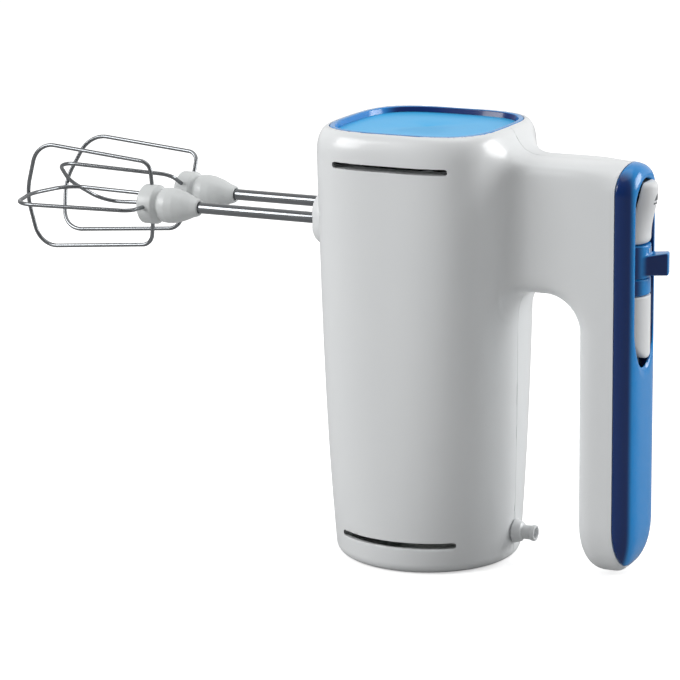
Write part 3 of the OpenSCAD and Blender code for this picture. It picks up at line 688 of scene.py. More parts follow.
def add_nodes(tree: bpy.types.NodeTree, **kinds: str) -> dict[str, bpy.types.Node]:
    """Adds nodes by kind and returns them under their given names."""
    return {label: tree.nodes.new(kind) for label, kind in kinds.items()}


def chain(tree: bpy.types.NodeTree, *pairs: tuple[bpy.types.NodeSocket, bpy.types.NodeSocket]) -> None:
    """Links each pair of sockets."""
    for source, sink in pairs:
        tree.links.new(source, sink)


def node_tree(name: str, ins: dict[str, str]) -> tuple[bpy.types.NodeTree, bpy.types.Node, bpy.types.Node]:
    """Starts a Geometry Nodes tree.

    Args:
        name: The tree's name.
        ins: Input names, each with its socket type.

    Returns:
        The tree, its input node and its output node.
    """
    tree = bpy.data.node_groups.new(name, "GeometryNodeTree")
    tree.interface.new_socket("Geometry", in_out="INPUT", socket_type="NodeSocketGeometry")
    for label, kind in ins.items():
        tree.interface.new_socket(label, in_out="INPUT", socket_type=kind)
    tree.interface.new_socket("Geometry", in_out="OUTPUT", socket_type="NodeSocketGeometry")
    return tree, tree.nodes.new("NodeGroupInput"), tree.nodes.new("NodeGroupOutput")


def bake_nodes(seed: bpy.types.Object, tree: bpy.types.NodeTree, values: dict[str, object], finish: str
               ) -> bpy.types.Object:
    """Runs a tree on an object and makes the result a plain mesh.

    Args:
        seed: The object that the tree starts from, which the result replaces.
        tree: The Geometry Nodes tree.
        values: Input names with their values.
        finish: The finish of the result.

    Returns:
        The piece, with a plain mesh and no modifier.
    """
    modifier = seed.modifiers.new("form", "NODES")
    modifier.node_group = tree
    for item in tree.interface.items_tree:
        if item.item_type == "SOCKET" and item.in_out == "INPUT" and item.name in values:
            modifier[item.identifier] = values[item.name]
    evaluated = seed.evaluated_get(bpy.context.evaluated_depsgraph_get())
    mesh = bpy.data.meshes.new_from_object(evaluated)
    seed.modifiers.remove(modifier)
    seed.data = mesh
    mesh.materials.clear()
    mesh.materials.append(FINISHES[finish].build())
    mesh.polygons.foreach_set("material_index", [0] * len(mesh.polygons))
    mesh.polygons.foreach_set("use_smooth", [True] * len(mesh.polygons))
    return close_up(seed, 40.0)


def path_seed(name: str, points: Sequence[Sequence[float]], edges: Sequence[tuple[int, int]]
              ) -> bpy.types.Object:
    """Makes the bare points and edges that a tree starts from.

    Args:
        name: The object's name.
        points: The points, in metres.
        edges: The edges as two point numbers each.

    Returns:
        The new object.
    """
    mesh = bpy.data.meshes.new(name)
    mesh.from_pydata(points, edges, [])
    seed = bpy.data.objects.new(name, mesh)
    bpy.context.scene.collection.objects.link(seed)
    return seed


def wire_tree() -> bpy.types.NodeTree:
    """Tree that runs a round wire along a path of edges."""
    found = bpy.data.node_groups.get("wire_along_path")
    if found:
        return found
    tree, source, sink = node_tree("wire_along_path", {
        "Wire radius": "NodeSocketFloat", "Sides": "NodeSocketInt", "Finish": "NodeSocketMaterial"})
    n = add_nodes(tree, path="GeometryNodeMeshToCurve", ring="GeometryNodeCurvePrimitiveCircle",
                  sweep="GeometryNodeCurveToMesh", real="GeometryNodeRealizeInstances",
                  dress="GeometryNodeSetMaterial")
    n["sweep"].inputs["Fill Caps"].default_value = True
    chain(tree, (source.outputs["Geometry"], n["path"].inputs["Mesh"]),
          (source.outputs["Sides"], n["ring"].inputs["Resolution"]),
          (source.outputs["Wire radius"], n["ring"].inputs["Radius"]),
          (n["path"].outputs["Curve"], n["sweep"].inputs["Curve"]),
          (n["ring"].outputs["Curve"], n["sweep"].inputs["Profile Curve"]),
          (n["sweep"].outputs["Mesh"], n["real"].inputs["Geometry"]),
          (n["real"].outputs["Geometry"], n["dress"].inputs["Geometry"]),
          (source.outputs["Finish"], n["dress"].inputs["Material"]),
          (n["dress"].outputs["Geometry"], sink.inputs["Geometry"]))
    return tree


def tick_tree() -> bpy.types.NodeTree:
    """Tree that stands a small block on each point of a seed, turned to face outward."""
    tree, source, sink = node_tree("ticks_on_arc", {
        "Tick size": "NodeSocketVector", "Finish": "NodeSocketMaterial"})
    n = add_nodes(tree, points="GeometryNodeMeshToPoints", block="GeometryNodeMeshCube",
                  spread="GeometryNodeInstanceOnPoints", facing="GeometryNodeInputNamedAttribute",
                  turn="FunctionNodeAlignRotationToVector", real="GeometryNodeRealizeInstances",
                  dress="GeometryNodeSetMaterial")
    n["facing"].data_type = "FLOAT_VECTOR"
    n["facing"].inputs["Name"].default_value = "outward"
    n["turn"].axis = "X"
    chain(tree, (source.outputs["Geometry"], n["points"].inputs["Mesh"]),
          (source.outputs["Tick size"], n["block"].inputs["Size"]),
          (n["facing"].outputs["Attribute"], n["turn"].inputs["Vector"]),
          (n["points"].outputs["Points"], n["spread"].inputs["Points"]),
          (n["block"].outputs["Mesh"], n["spread"].inputs["Instance"]),
          (n["turn"].outputs["Rotation"], n["spread"].inputs["Rotation"]),
          (n["spread"].outputs["Instances"], n["real"].inputs["Geometry"]),
          (n["real"].outputs["Geometry"], n["dress"].inputs["Geometry"]),
          (source.outputs["Finish"], n["dress"].inputs["Material"]),
          (n["dress"].outputs["Geometry"], sink.inputs["Geometry"]))
    return tree


# ---- Housing --------------------------------------------------------------------------


@dataclass
class Housing:
    """The two moulded shells with arm and handle, the nose cap, the boss and the gland."""

    height: float = 212.0
    nose_r: float = 47.1
    heel_r: float = 44.7
    squareness: float = 3.4
    heel_round: float = 5.0
    shoulder: float = 12.0
    cap_inset: float = 5.3
    cap_seat: float = 6.0
    wall: float = 2.4
    handle_in: float = 83.0
    handle_depth: float = 29.0
    handle_w: float = 36.0
    arm_top: float = 199.5
    arm_under: float = 135.5
    arm_fillet: float = 17.0
    root_fillet: float = 13.0
    handle_lift: float = 2.0
    end_h: float = 27.0
    cover_x: float = 102.6
    cover_top: tuple[float, float] = (14.0, 2.0)
    cover_end: tuple[float, float] = (24.0, 8.4)
    slot_heights: tuple[float, float] = (196.3, 14.4)
    slot_half: float = 28.0
    slot_mid: float = 0.5
    crown_z: float = 186.0
    slot_r: float = 1.5
    shelf: tuple[float, float] = (192.3, 194.7)
    shelf_depth: float = 11.5
    seam_depth: float = 0.3
    gland_z: float = 14.4
    gland_seat_r: float = 4.8
    post_r: float = 4.0
    screw_bore_r: float = 1.55
    screw_head_r: float = 3.2
    pocket_r: float = 11.4
    pocket_top: float = 180.7
    pocket_low: float = 122.1
    boss_w: float = 29.0
    boss_h: float = 16.0
    boss_face: float = -52.5
    boss_back: float = -39.1
    screws: tuple[tuple[float, float], ...] = ((-37, 32), (37, 42), (-35, 128), (36, 120), (67, 144.5),
                                               (91, 30), (91, 84))

    @property
    def handle_mid(self) -> float:
        """Middle of the handle, front to back."""
        return self.handle_in + self.handle_depth / 2

    def rise(self, z: Array) -> Array:
        """Share of the way from the heel to the shoulder."""
        return np.clip(z / (self.height - self.shoulder), 0, 1)

    def side(self, z: Array) -> Array:
        """Half width of the body at a height."""
        return (self.nose_r - (self.nose_r - self.heel_r) * (1 - self.rise(z)) ** 4
                - quarter((z - self.height + self.shoulder) / self.shoulder, self.cap_inset)
                - quarter(1 - z / self.heel_round, self.heel_round))

    def body(self, x: Array, y: Array, z: Array) -> Array:
        """Field of the body, square with round corners at the nose and round at the heel."""
        n = 2 + (self.squareness - 2) * self.rise(z)
        reach = (np.abs(x) ** n + np.abs(y) ** n) ** (1 / n)
        return np.maximum(reach - self.side(z), np.maximum(z - self.height, -z))

    def window(self, x: Array, z: Array) -> Array:
        """Side-view distance to the hand opening between body and handle, below 0 inside it."""
        under = self.arm_under - quarter((self.nose_r + 6 - x) / 6, 6.0)
        across, up = x - self.handle_in + self.arm_fillet, z - under + self.arm_fillet
        return (np.hypot(np.maximum(across, 0), np.maximum(up, 0)) + np.minimum(np.maximum(across, up), 0)
                - self.arm_fillet)

    def grip(self, x: Array, y: Array, z: Array) -> Array:
        """Field of arm and handle in one form, round at the back and drawn in at the lower end."""
        half = self.handle_depth / 2
        low = np.clip((self.handle_lift + self.end_h - z) / self.end_h, 0, 1)
        shrink = (1 - low ** 2.4) ** (1 / 2.4)
        inner = np.maximum(1 - self.window(x, z) / half, 0)
        outer = np.maximum(x - self.handle_mid, 0) / half
        top = np.maximum(z - self.crown_z, 0) / (self.arm_top - self.crown_z)
        t = np.clip((x - 80) / 22, 0, 1)
        p = 4 - 1.9 * t * t * (3 - 2 * t)
        crown = ((np.abs(y) / (self.handle_w / 2)) ** p + top ** p) ** (1 / p)
        reach = (inner ** 4 + outer ** 4 + crown ** 4) ** 0.25
        return np.maximum((reach - shrink) * 16, np.maximum(self.handle_lift - z, 20 - x))

    def outside(self, x: Array, y: Array, z: Array) -> Array:
        """Field of the whole outer form."""
        return soft_min(self.body(x, y, z), self.grip(x, y, z), self.root_fillet)

    def hollow(self, x: Array, y: Array, z: Array) -> Array:
        """Field of the space inside the shells."""
        inner = self.outside(x, y, z) + self.wall
        roof = np.where(x < self.nose_r - 4, self.height - self.cap_seat - self.wall, self.arm_top - self.wall)
        floor = np.where(x < self.nose_r + 4, self.wall, self.handle_lift + 4)
        return np.maximum(inner, np.maximum(z - roof, floor - z))

    def cover_edge(self, z: Array) -> Array:
        """Where the handle's coloured cover starts at a height."""
        curve, draw = self.cover_top
        end_curve, end_draw = self.cover_end
        return (self.cover_x + quarter((z - self.arm_top + curve) / curve, draw)
                + quarter((self.handle_lift + end_curve - z) / end_curve, end_draw))

    def boss_reach(self, y: Array, z: Array) -> Array:
        """Field of the boss's outline, seen along the beaters."""
        reach = (np.abs(y) / self.boss_w) ** 2.6 + (np.abs(z - BEATER_Z) / self.boss_h) ** 2.6
        return (reach ** (1 / 2.6) - 1) * 19

    def shell(self, side: int) -> Shape:
        """Field of one shell.

        Args:
            side: -1 for the left shell and 1 for the right one.

        Returns:
            The field.
        """
        def shape(x: Array, y: Array, z: Array) -> Array:
            """The shell: outer form, hollow, posts, seat, slots and bores."""
            outer = self.outside(x, y, z)
            seam = self.seam_depth * np.clip(1 - np.abs(y) / 0.7, 0, 1)
            posts = np.min([np.hypot(x - px, z - pz) - self.post_r for px, pz in self.screws], axis=0)
            shelf = np.maximum(np.maximum(self.shelf[0] - z, z - self.shelf[1]),
                               np.maximum(-self.body(x, y, z) - self.shelf_depth,
                                          np.abs(x - self.slot_mid) - self.slot_half - 3))
            field_ = carve(outer + seam, np.maximum(self.hollow(x, y, z), -np.minimum(posts, shelf)), 0.2)
            seat = (np.abs(x) ** self.squareness + np.abs(y) ** self.squareness) ** (1 / self.squareness)
            field_ = carve(field_, np.maximum(seat - self.nose_r + self.cap_inset,
                                              self.height - self.cap_seat - z), 0.5)
            field_ = soft_max(field_, x - self.cover_edge(z) + 0.25, 0.4)
            for height in self.slot_heights:
                along = np.maximum(np.abs(x - self.slot_mid) - self.slot_half, 0)
                slot = np.hypot(along, z - height) - self.slot_r
                field_ = carve(field_, np.maximum(slot, 18 - np.abs(y)), 0.4)
            field_ = carve(field_, np.maximum(self.boss_reach(y, z) - 0.3, x + 38), 0.4)
            field_ = carve(field_, np.maximum(np.hypot(y, z - self.gland_z) - self.gland_seat_r, -x), 0.3)
            bores = np.min([np.hypot(x - px, z - pz) for px, pz in self.screws], axis=0)
            field_ = carve(field_, np.maximum(bores - self.screw_bore_r, -12 - y), 0.1)
            if side > 0:
                field_ = carve(field_, np.maximum(bores - self.screw_head_r, 9 - y), 0.3)
            return np.maximum(field_, 0.1 - side * y)
        return shape

    def shells(self) -> None:
        """Makes both shells."""
        step = 1.1
        for side, label in ((-1, "left"), (1, "right")):
            span = (-50.3, 1.0) if side < 0 else (-1.0, 50.3)
            grid = Sampler((-50.3, span[0], -1.6), (114.2, span[1], 214.1), step)
            sample(f"shell_{label}", grid, self.shell(side), "shell_white", "housing", f"body_shell_{label}")

    def cap(self) -> None:
        """Makes the nose cap: a raised rim round a shallow dish, and the dish's floor in a paler blue, painted
        light for the light that falls on the up-facing floor.
        """
        side, base, top = self.nose_r - self.cap_inset - 0.25, self.height - self.cap_seat, self.height
        floor = top - 2.6
        rim = rounded([(0.0, base), (0.0, top), (2.2, top), (2.9, floor - 0.6), (6.0, floor - 0.7),
                       (6.0, base)], 0.7, 5)
        settle(self.dish("nose_rim", rim, side, "cover_blue"), "housing", "cover_blue", "nose_cap")
        # The floor takes the paler blue: painted light on the up-facing dish floor.
        plate = rounded([(3.0, floor), (6.0, floor), (14.0, floor - 0.05), (side - 1e-3, floor - 0.1),
                         (side - 1e-3, base + 0.2), (6.1, base + 0.2), (6.1, floor - 0.7), (3.0, floor - 0.5)],
                        0.15, 2)
        settle(self.dish("nose_floor", plate, side, "nose_blue"), "housing", "nose_blue")

    def dish(self, name: str, profile: Sequence[tuple[float, float]], side: float, finish: str
             ) -> bpy.types.Object:
        """Carries a profile round the nose's square outline.

        Args:
            name: The piece's name.
            profile: Places in from the outline, each with its height.
            side: Half width of the outline.
            finish: The name of the piece's finish.

        Returns:
            The new object.
        """
        count, size = 160, len(profile)
        turn = np.arange(count) * 2 * math.pi / count
        ring = np.stack([np.sign(f(turn)) * np.abs(f(turn)) ** (2 / self.squareness)
                         for f in (np.cos, np.sin)], 1)
        rings = np.array([[(*((side - inset) * p), z) for p in ring] for inset, z in profile])
        faces = ring_faces(size, count, size)
        return close_up(make_piece(name, rings.reshape(-1, 3), faces, finish), CREASE)

    def cover(self) -> None:
        """Makes the handle's coloured cover with its pocket for the controls."""
        def shape(x: Array, y: Array, z: Array) -> Array:
            """The cover: the grip's back, hollowed, with the pocket cut in."""
            grip = self.grip(x, y, z)
            shell = carve(grip, np.maximum(grip + self.wall, 8 - z), 0.3)
            shell = soft_max(shell, self.cover_edge(z) + 0.05 - x, 0.8)
            scoop = 15.5 + 5.6 * np.clip((x - 107.8) / 4.2, 0, 1)
            low = (np.hypot(y / self.pocket_r, np.maximum(self.pocket_low - z, 0) / scoop) - 1) * self.pocket_r
            pocket = np.where(z > self.pocket_top, np.hypot(y, z - self.pocket_top) - self.pocket_r, low)
            return carve(shell, np.maximum(pocket, 88.3 - x), 2.2)
        grid = Sampler((100.0, -19.5, 0.3), (114.0, 19.6, 201.3), 0.8)
        sample("grip_cover", grid, shape, "cover_blue", "housing", "handle_cover", crease=50)

    def boss(self) -> None:
        """Makes the swollen boss that the beaters go into."""
        def shape(x: Array, y: Array, z: Array) -> Array:
            """The boss with its two sockets."""
            form = soft_max(self.boss_reach(y, z), self.boss_face - x, 11.0)
            form = np.maximum(form, x - self.boss_back)
            sockets = np.hypot(np.abs(y) - BEATER_Y, z - BEATER_Z) - 6.4
            return carve(form, sockets, 0.9)
        grid = Sampler((-53.7, -30.5, 147.0), (-37.9, 30.6, 182.2), 0.7)
        sample("beater_boss_cover", grid, shape, "shell_white", "housing", "beater_boss")

    def gland(self) -> None:
        """Makes the stub that takes the mains lead."""
        outline = [(-5.09, 2.6), (-5.09, 4.6), (0.2, 4.6), (0.2, 6.1), (4.0, 4.7), (4.6, 3.5), (9.0, 3.5),
                   (9.2, 3.9), (11.1, 3.9), (11.2, 2.6)]
        start = float(self.side(np.array(self.gland_z + 6.4))) + 0.2
        piece = lathe("lead_gland", rounded(outline, 0.4, 3), (start, 0, self.gland_z), "shell_white")
        settle(piece, "housing", "shell_white", "cord_gland")

    def build(self) -> None:
        """Makes every piece of the housing."""
        self.shells()
        self.cap()
        self.cover()
        self.boss()
        self.gland()


# ---- Beaters --------------------------------------------------------------------------


@dataclass
class Beater:
    """One beater: shaft, plastic collar and two wire loops."""

    label: str
    side: int
    phase: float
    reach: float = 213.2
    cage_len: float = 72.7
    cage_r: float = 26.0
    cage_back_r: float = 20.6
    wire_r: float = 1.0
    shaft_r: float = 2.75
    collar_r: float = 9.7
    collar_len: float = 31.0
    shaft_end: float = 10.0

    @property
    def cage_x(self) -> float:
        """Where the cage's wires leave the collar."""
        return self.cage_len - self.reach

    @property
    def body(self) -> str:
        """The CAD body of this beater."""
        return f"{self.label}_beater"

    @property
    def axis(self) -> tuple[float, float, float]:
        """A place on this beater's axis."""
        return (0, self.side * BEATER_Y, BEATER_Z)

    def turned(self, points: Sequence[Sequence[float]], turn: float) -> Array:
        """Places points given about the beater's axis, turned by its phase and more.

        Args:
            points: Points with the axis along X through the origin.
            turn: Further turn about the axis, in degrees.

        Returns:
            The points in the model's frame, in millimetres.
        """
        angle = math.radians(self.phase + turn)
        p = np.array(points, float)
        y = p[:, 1] * math.cos(angle) - p[:, 2] * math.sin(angle)
        z = p[:, 1] * math.sin(angle) + p[:, 2] * math.cos(angle)
        return np.stack([p[:, 0], y + self.side * BEATER_Y, z + BEATER_Z], 1)

    def shaft(self) -> None:
        """Makes the shaft with its chamfered end and its driving lugs."""
        start = self.cage_x - 0.4
        profile = rounded([(start, 0.01), (start, self.shaft_r), (self.shaft_end - 1.2, self.shaft_r),
                           (self.shaft_end, self.shaft_r - 1), (self.shaft_end, 0.01)], 0.3, 3, closed=False)
        piece = lathe(f"shaft_{self.label}", profile, self.axis, "steel_bright", 48)
        lug = rounded([(-4.4, 0.01), (-4.4, 0.95), (4.4, 0.95), (4.4, 0.01)], 0.3, 3, closed=False)
        pin = lathe(f"lugs_{self.label}", lug, (0, 0, 0), "steel_bright", 24)
        points = [(-40.6 + v.co.y / MM, v.co.x / MM, v.co.z / MM) for v in pin.data.vertices]
        for vertex, place in zip(pin.data.vertices, self.turned(points, 0)):
            vertex.co = place * MM
        close_up(pin)
        settle(piece, self.body, "steel_bright", f"beater_shaft_{self.label}")
        settle(pin, self.body, "steel_bright")

    def collar(self) -> None:
        """Makes the plastic collar: a front ring, a groove and a shoulder that tapers to the shaft."""
        r, bore = self.collar_r, self.shaft_r
        outline = [(0, bore * 0.5), (0, r - 1.2), (1.1, r), (8.2, r), (9.6, r - 2.5), (10.3, r - 2.5),
                   (11.6, r - 1.2), (15.0, r - 0.9), (19.0, r - 1.4), (23.5, r - 2.8), (27.5, bore + 2.4),
                   (self.collar_len, bore + 1.3), (self.collar_len, bore + 0.02), (4.0, bore + 0.02),
                   (4.0, bore * 0.5)]
        piece = lathe(f"collar_{self.label}", rounded(outline, 1.0, 4),
                      (self.cage_x - 4.4, *self.axis[1:]), "collar_grey", 96)
        settle(piece, self.body, "collar_grey", f"beater_collar_{self.label}")

    def loop(self, letter: str, turn: float, tip: float) -> None:
        """Makes one wire loop of the cage.

        Args:
            letter: Which loop.
            turn: Its turn about the axis, in degrees.
            tip: Where it ends, along the axis.
        """
        root, back = (self.collar_r + 0.6, self.cage_x), (self.cage_back_r, self.cage_x - 0.9)
        front, nose = (self.cage_r + 0.4, tip + 6.4), (0.0, tip - 0.6)
        outline = [(6.0, self.cage_x), root, back, front, nose]
        outline += [(-u, v) for u, v in outline[-2::-1]]
        sizes = [0, 0, 10, 12, 30, 12, 10, 0, 0]
        path: list[tuple[float, float]] = []
        for i, (corner, size) in enumerate(zip(outline, sizes)):
            if size:
                path += rounded(outline[i - 1:i + 2], size, 14, closed=False)[1:-1]
            else:
                path.append(corner)
        points = self.turned([(v, 0, u) for u, v in path], turn) * MM
        seed = path_seed(f"loop_{letter}_{self.label}", points.tolist(),
                         [(i, i + 1) for i in range(len(points) - 1)])
        piece = bake_nodes(seed, wire_tree(), {
            "Wire radius": self.wire_r * MM, "Sides": 16, "Finish": FINISHES["steel_bright"].build()},
            "steel_bright")
        settle(piece, self.body, "steel_bright", f"beater_loop_{letter}_{self.label}")

    def build(self) -> None:
        """Makes every piece of the beater."""
        self.shaft()
        self.collar()
        tip = self.wire_r - self.reach
        self.loop("a", 0, tip)
        self.loop("b", 90, tip + 2 * self.wire_r + 0.2)


# ---- Controls -------------------------------------------------------------------------


@dataclass
class Controls:
    """What the thumb works: eject paddle, speed collar with its lever, and boost button."""

    barrel_x: float = 101.8
    barrel_r: float = 11.5
    gap: float = 0.5
    paddle_z: float = 161.7
    paddle_h: float = 29.5
    collar_z: float = 145.5
    collar_h: float = 15.7
    ring_z: float = 137.6
    ring_h: float = 7.7
    boost_z: float = 106.6
    boost_h: float = 30.5
    lever_turn: float = 15.0
    lever_reach: float = 20.0
    lever_root: float = 7.0
    lever_root_half: float = 7.5
    lever_end_half: float = 3.0
    boost_round: float = 15.0
    post_r: float = 5.1
    proud: float = 3.4

    def barrel(self, x: Array, y: Array, radius: float) -> Array:
        """Field of an upright cylinder on the barrel's axis."""
        return np.hypot(x - self.barrel_x, y) - radius

    def band(self, z: Array, low: float, high: float) -> Array:
        """Field of everything between two heights."""
        return np.maximum(low - z, z - high)

    def pad_edge(self, z: Array) -> Array:
        """Where the white pad starts: it wraps round below and draws forward above."""
        t = np.clip((z - self.paddle_z + 0.7) / (self.paddle_h - 0.5), 0, 1)
        return self.barrel_x + 3.0 + 6.9 * (t + t * t * (3 - 2 * t)) / 2

    def pad(self, x: Array, y: Array, z: Array) -> Array:
        """Field of the eject paddle's white pad."""
        t = np.clip((z - self.paddle_z - 4) / (self.paddle_h - 8.5), 0, 1)
        swell = self.proud * t * t * (3 - 2 * t)
        radius = self.barrel_r - self.gap
        ahead = np.where(x > self.barrel_x, (x - self.barrel_x) * radius / (radius + self.gap + swell),
                         x - self.barrel_x)
        form = np.hypot(ahead, y) - radius
        form = soft_max(form, self.band(z, self.paddle_z, self.paddle_z + self.paddle_h), 3.0)
        return soft_max(form, self.pad_edge(z) + 0.1 - x, 0.6)

    def paddle(self) -> None:
        """Makes the eject paddle: a white pad on a dark skirt, with a raised eject mark."""
        grid = Sampler((97.0, -12.4, 160.3), (118.4, 12.5, 192.4), 0.5)
        sample("eject_pad", grid, self.pad, "button_white", "ejector", "eject_paddle", crease=45)

        def skirt(x: Array, y: Array, z: Array) -> Array:
            """The part of the barrel behind the pad."""
            form = soft_max(self.barrel(x, y, self.barrel_r - self.gap - 0.1),
                            self.band(z, self.paddle_z, self.paddle_z + self.paddle_h), 1.0)
            form = np.maximum(form, 98.4 - x)
            return np.maximum(form, x - self.pad_edge(z))
        sample("eject_skirt_form", grid, skirt, "skirt_dark", "ejector", "eject_skirt", crease=45)
        self.eject_mark()

    def eject_mark(self) -> None:
        """Makes the raised mark on the pad: a triangle over a bar."""
        top = self.paddle_z + self.paddle_h - 7.5
        outlines = ([(-2.0, top - 1.4), (2.0, top - 1.4), (0.0, top + 2.0)],
                    [(-2.0, top - 3.2), (2.0, top - 3.2), (2.0, top - 2.3), (-2.0, top - 2.3)])
        corners: list[tuple[float, float, float]] = []
        faces: list[tuple[int, ...]] = []
        for outline in outlines:
            soft = rounded(outline, 0.3, 3)
            start, count = len(corners), len(soft)
            middle = tuple(np.mean(soft, axis=0))
            for lift in (-0.25, 0.12):
                for y, z in (*soft, middle):
                    corners.append((self.front_at(y, z) + lift, y, z))
            for k in range(count):
                a, b = start + k, start + (k + 1) % count
                up = count + 1
                faces += [(a, b, b + up, a + up), (start + count, b, a), (start + count + up, a + up, b + up)]
        piece = close_up(make_piece("eject_mark", np.array(corners), faces, "mark_grey"))
        settle(piece, "ejector", "skirt_dark")

    def front_at(self, y: float, z: float) -> float:
        """How far forward the pad's surface stands at a place.

        Args:
            y: The place across.
            z: Its height.

        Returns:
            The surface's X in millimetres.
        """
        low, high = 104.0, 120.0
        for _ in range(30):
            middle = (low + high) / 2
            if self.pad(np.array([middle]), np.array([y]), np.array([z]))[0] < 0:
                low = middle
            else:
                high = middle
        return low

    def speed_collar(self) -> None:
        """Makes the turning collar with its lever."""
        c, s = math.cos(math.radians(self.lever_turn)), math.sin(math.radians(self.lever_turn))

        def shape(x: Array, y: Array, z: Array) -> Array:
            """The collar and its wedge-shaped lever."""
            form = soft_max(self.barrel(x, y, self.barrel_r),
                            self.band(z, self.collar_z, self.collar_z + self.collar_h), 0.8)
            form = np.maximum(form, self.post_r - np.hypot(x - self.barrel_x, y))
            u, v = (x - self.barrel_x) * c + y * s, -(x - self.barrel_x) * s + y * c
            t = np.clip((u - self.barrel_r + 2) / (self.lever_reach - self.barrel_r + 2), 0, 1)
            wedge = np.clip((u - self.lever_root) / (self.lever_reach - self.lever_root), 0, 1)
            half = self.lever_root_half - (self.lever_root_half - self.lever_end_half) * wedge
            across = np.abs(v) - half + 1.0
            up = np.abs(z - self.collar_z - 6.0 - 0.4 * t) - (4.6 + 0.8 * t) + 1.0
            out = np.abs(u - 13) - (self.lever_reach - 13) + 1.0
            box = (np.linalg.norm(np.maximum([across, up, out], 0), axis=0)
                   + np.minimum(np.max([across, up, out], axis=0), 0) - 1.0)
            return soft_min(form, box, 1.2)
        grid = Sampler((89.4, -12.3, 144.2), (125.0, 13.0, 162.4), 0.5)
        sample("speed_ring", grid, shape, "cover_blue", "speed_selector", "speed_collar", crease=45)
        self.ticks()

    def ticks(self) -> None:
        """Makes the raised speed ticks on the collar."""
        turns = [math.radians(self.lever_turn + 9 * k) for k in range(-2, 3)]
        outward = [(math.cos(t), math.sin(t), 0.0) for t in turns]
        height = self.collar_z + 12.8
        places = [((self.barrel_x + self.barrel_r * c) * MM, self.barrel_r * s * MM, height * MM)
                  for c, s, _ in outward]
        seed = path_seed("speed_ticks", places, [])
        layer = seed.data.attributes.new("outward", "FLOAT_VECTOR", "POINT")
        layer.data.foreach_set("vector", [v for o in outward for v in o])
        piece = bake_nodes(seed, tick_tree(), {
            "Tick size": (0.3 * MM, 0.5 * MM, 2.2 * MM), "Finish": FINISHES["button_white"].build()},
            "button_white")
        settle(piece, "speed_selector", "button_white")

    def fixed_ring(self) -> None:
        """Makes the fixed ring under the collar."""
        def shape(x: Array, y: Array, z: Array) -> Array:
            """The ring and the foot that ties it to the housing."""
            band = self.band(z, self.ring_z, self.ring_z + self.ring_h)
            form = soft_max(self.barrel(x, y, self.barrel_r), band, 0.8)
            foot = np.maximum(np.maximum(np.abs(y) - 6, 85.7 - x), np.maximum(band, x - 97))
            return np.maximum(np.minimum(form, foot), 5.02 - np.hypot(x - self.barrel_x, y))
        grid = Sampler((84.9, -12.3, 136.4), (114.2, 12.4, 146.4), 0.5)
        sample("barrel_ring", grid, shape, "cover_blue", "housing", "fixed_ring", crease=45)

    def boost(self) -> None:
        """Makes the boost button, round at its lower tip."""
        def shape(x: Array, y: Array, z: Array) -> Array:
            """The button, cut from the barrel."""
            half = self.barrel_r - self.gap
            drop = np.maximum(self.boost_z + self.boost_round + 0.5 - z, 0) / self.boost_round
            outline = (np.hypot(y / half, drop) - 1) * half
            form = soft_max(self.barrel(x, y, self.barrel_r), outline, 1.4)
            form = soft_max(form, z - self.boost_z - self.boost_h, 0.8)
            return np.maximum(form, 104.3 - x)
        grid = Sampler((103.3, -12.4, 105.3), (114.4, 12.5, 138.3), 0.5)
        sample("boost_button", grid, shape, "button_white", "turbo", "turbo_button", crease=45)

    def build(self) -> None:
        """Makes every control."""
        self.paddle()
        self.speed_collar()
        self.fixed_ring()
        self.boost()


# ---- Inner parts ----------------------------------------------------------------------


@dataclass
class InnerParts:
    """The CAD nodes that stay as they are, each with the finish of its slot."""

    slots: dict[str, str] = field(default_factory=dict)

    def read_slots(self) -> None:
        """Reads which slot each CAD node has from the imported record."""
        for entry in frame["record"]["subparts"]:
            self.slots[entry["node"]] = entry["material_slot"]

    def build(self) -> None:
        """Gives every CAD node that still shows its finish."""
        self.read_slots()
        for name, node in frame["nodes"].items():
            if node.hide_render:
                continue
            finish = self.slots.get(name, "chassis_dark")
            node.data.materials.clear()
            node.data.materials.append(FINISHES[finish].build())
            node.data.polygons.foreach_set("material_index", [0] * len(node.data.polygons))
            log.info("%s takes %s", name, finish)


# ---- Studio ---------------------------------------------------------------------------


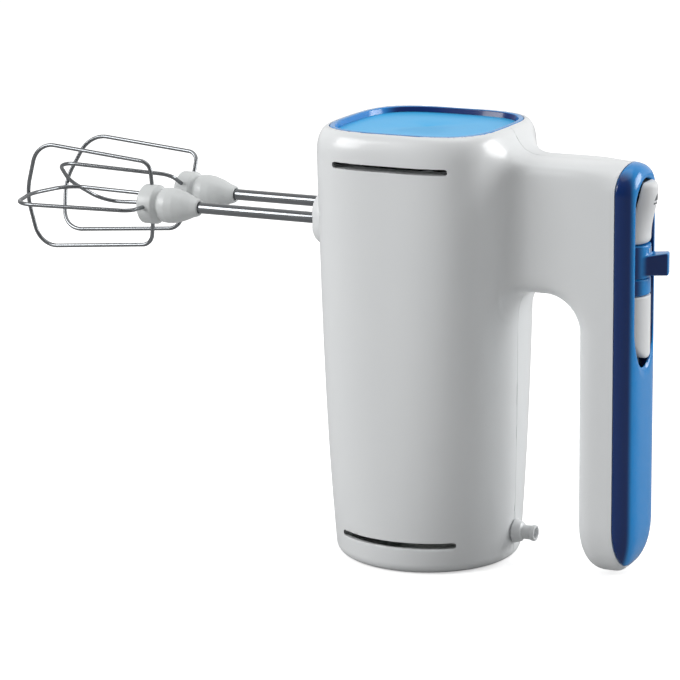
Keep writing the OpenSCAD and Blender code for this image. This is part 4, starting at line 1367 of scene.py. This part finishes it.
@dataclass
class Studio:
    """Camera, floor and soft light."""

    turn: float = 26.233
    pitch: float = 13.452
    roll: float = -0.624
    focal_px: float = 3169.04
    frame_px: float = 680.0
    place: tuple[float, float, float] = (0.6206, -1.3558, 0.4618)
    floor_tone: float = 0.42
    floor_lift: float = 0.5
    sky_mean: float = 0.5
    sky_swing: float = 0.32

    def camera(self) -> None:
        """Places the camera."""
        a, p, w = (math.radians(v) for v in (self.turn, self.pitch, self.roll))
        ahead = Vector((-math.sin(a), math.cos(a), 0))
        right = Vector((math.cos(a), math.sin(a), 0))
        view = ahead * math.cos(p) - Vector((0, 0, 1)) * math.sin(p)
        up = ahead * math.sin(p) + Vector((0, 0, 1)) * math.cos(p)
        side = right * math.cos(w) + up * math.sin(w)
        rise = up * math.cos(w) - right * math.sin(w)
        data = bpy.data.cameras.new("studio_camera")
        data.sensor_width = 36.0
        data.lens = self.focal_px / self.frame_px * data.sensor_width
        data.clip_start, data.clip_end = 0.05, 50.0
        camera = bpy.data.objects.new("studio_camera", data)
        bpy.context.scene.collection.objects.link(camera)
        turn = Matrix((side, rise, -view)).transposed().to_4x4()
        camera.matrix_world = Matrix.Translation(self.place) @ turn
        bpy.context.scene.camera = camera

    def area(self, name: str, place: Sequence[float], aim: Sequence[float], size: float, power: float) -> None:
        """Adds a soft square light.

        Args:
            name: The light's name.
            place: Where it stands, in metres.
            aim: What it faces.
            size: Its side.
            power: Its power in watts.
        """
        data = bpy.data.lights.new(name, "AREA")
        data.size, data.energy = size, power
        light = bpy.data.objects.new(name, data)
        bpy.context.scene.collection.objects.link(light)
        light.location = place
        light.rotation_euler = (Vector(place) - Vector(aim)).to_track_quat("Z", "Y").to_euler()

    def floor(self) -> None:
        """Lays the plain pale floor."""
        mesh = bpy.data.meshes.new("studio_floor")
        mesh.from_pydata([(-9, -9, 0), (9, -9, 0), (9, 9, 0), (-9, 9, 0)], [], [(0, 1, 2, 3)])
        floor = bpy.data.objects.new("studio_floor", mesh)
        bpy.context.scene.collection.objects.link(floor)
        material = bpy.data.materials.new("floor_pale")
        material.use_nodes = True
        shader = material.node_tree.nodes["Principled BSDF"]
        shader.inputs["Roughness"].default_value = 0.85
        shader.inputs["Emission Color"].default_value = (1, 1, 1, 1)
        tree = material.node_tree
        seen = tree.nodes.new("ShaderNodeLightPath").outputs["Is Camera Ray"]
        tone = math_node(tree, "MULTIPLY_ADD", seen, self.floor_lift, self.floor_tone)
        join = tree.nodes.new("ShaderNodeCombineXYZ")
        for channel in join.inputs:
            tree.links.new(tone, channel)
        tree.links.new(join.outputs[0], shader.inputs["Base Color"])
        tree.links.new(math_node(tree, "MULTIPLY", seen, self.floor_lift), shader.inputs["Emission Strength"])
        mesh.materials.append(material)

    def sky(self) -> None:
        """Sets a surround that is brighter behind than in front, and white where it is seen."""
        world = bpy.data.worlds.new("studio_world")
        bpy.context.scene.world = world
        world.use_nodes = True
        tree = world.node_tree
        split = tree.nodes.new("ShaderNodeSeparateXYZ")
        tree.links.new(tree.nodes.new("ShaderNodeTexCoord").outputs["Generated"], split.inputs[0])
        depth = math_node(tree, "MULTIPLY_ADD", split.outputs[1], self.sky_swing, self.sky_mean)
        seen = tree.nodes.new("ShaderNodeLightPath").outputs["Is Camera Ray"]
        strength = math_node(tree, "MAXIMUM", depth, seen)
        back = tree.nodes["Background"]
        back.inputs["Color"].default_value = (1, 1, 1, 1)
        tree.links.new(strength, back.inputs["Strength"])
        bpy.context.scene.view_settings.view_transform = "Standard"

    def build(self) -> None:
        """Sets up the studio."""
        self.camera()
        self.floor()
        self.sky()
        middle = (0.0, 0.0, 0.1)
        self.area("left_softbox", (-1.2, -1.1, 0.9), middle, 0.9, 19)
        self.area("right_softbox", (1.3, 0.9, 0.6), middle, 0.8, 15)
        self.area("top_softbox", (0.1, 0.1, 1.7), middle, 1.4, 6)


def main() -> None:
    """Builds the studio and every sub-assembly in order."""
    Studio().build()
    Housing().build()
    for label, side, phase in (("left", -1, 0.0), ("right", 1, -32.0)):
        Beater(label, side, phase).build()
    Controls().build()
    InnerParts().build()


if __name__ == "__main__":
    main()
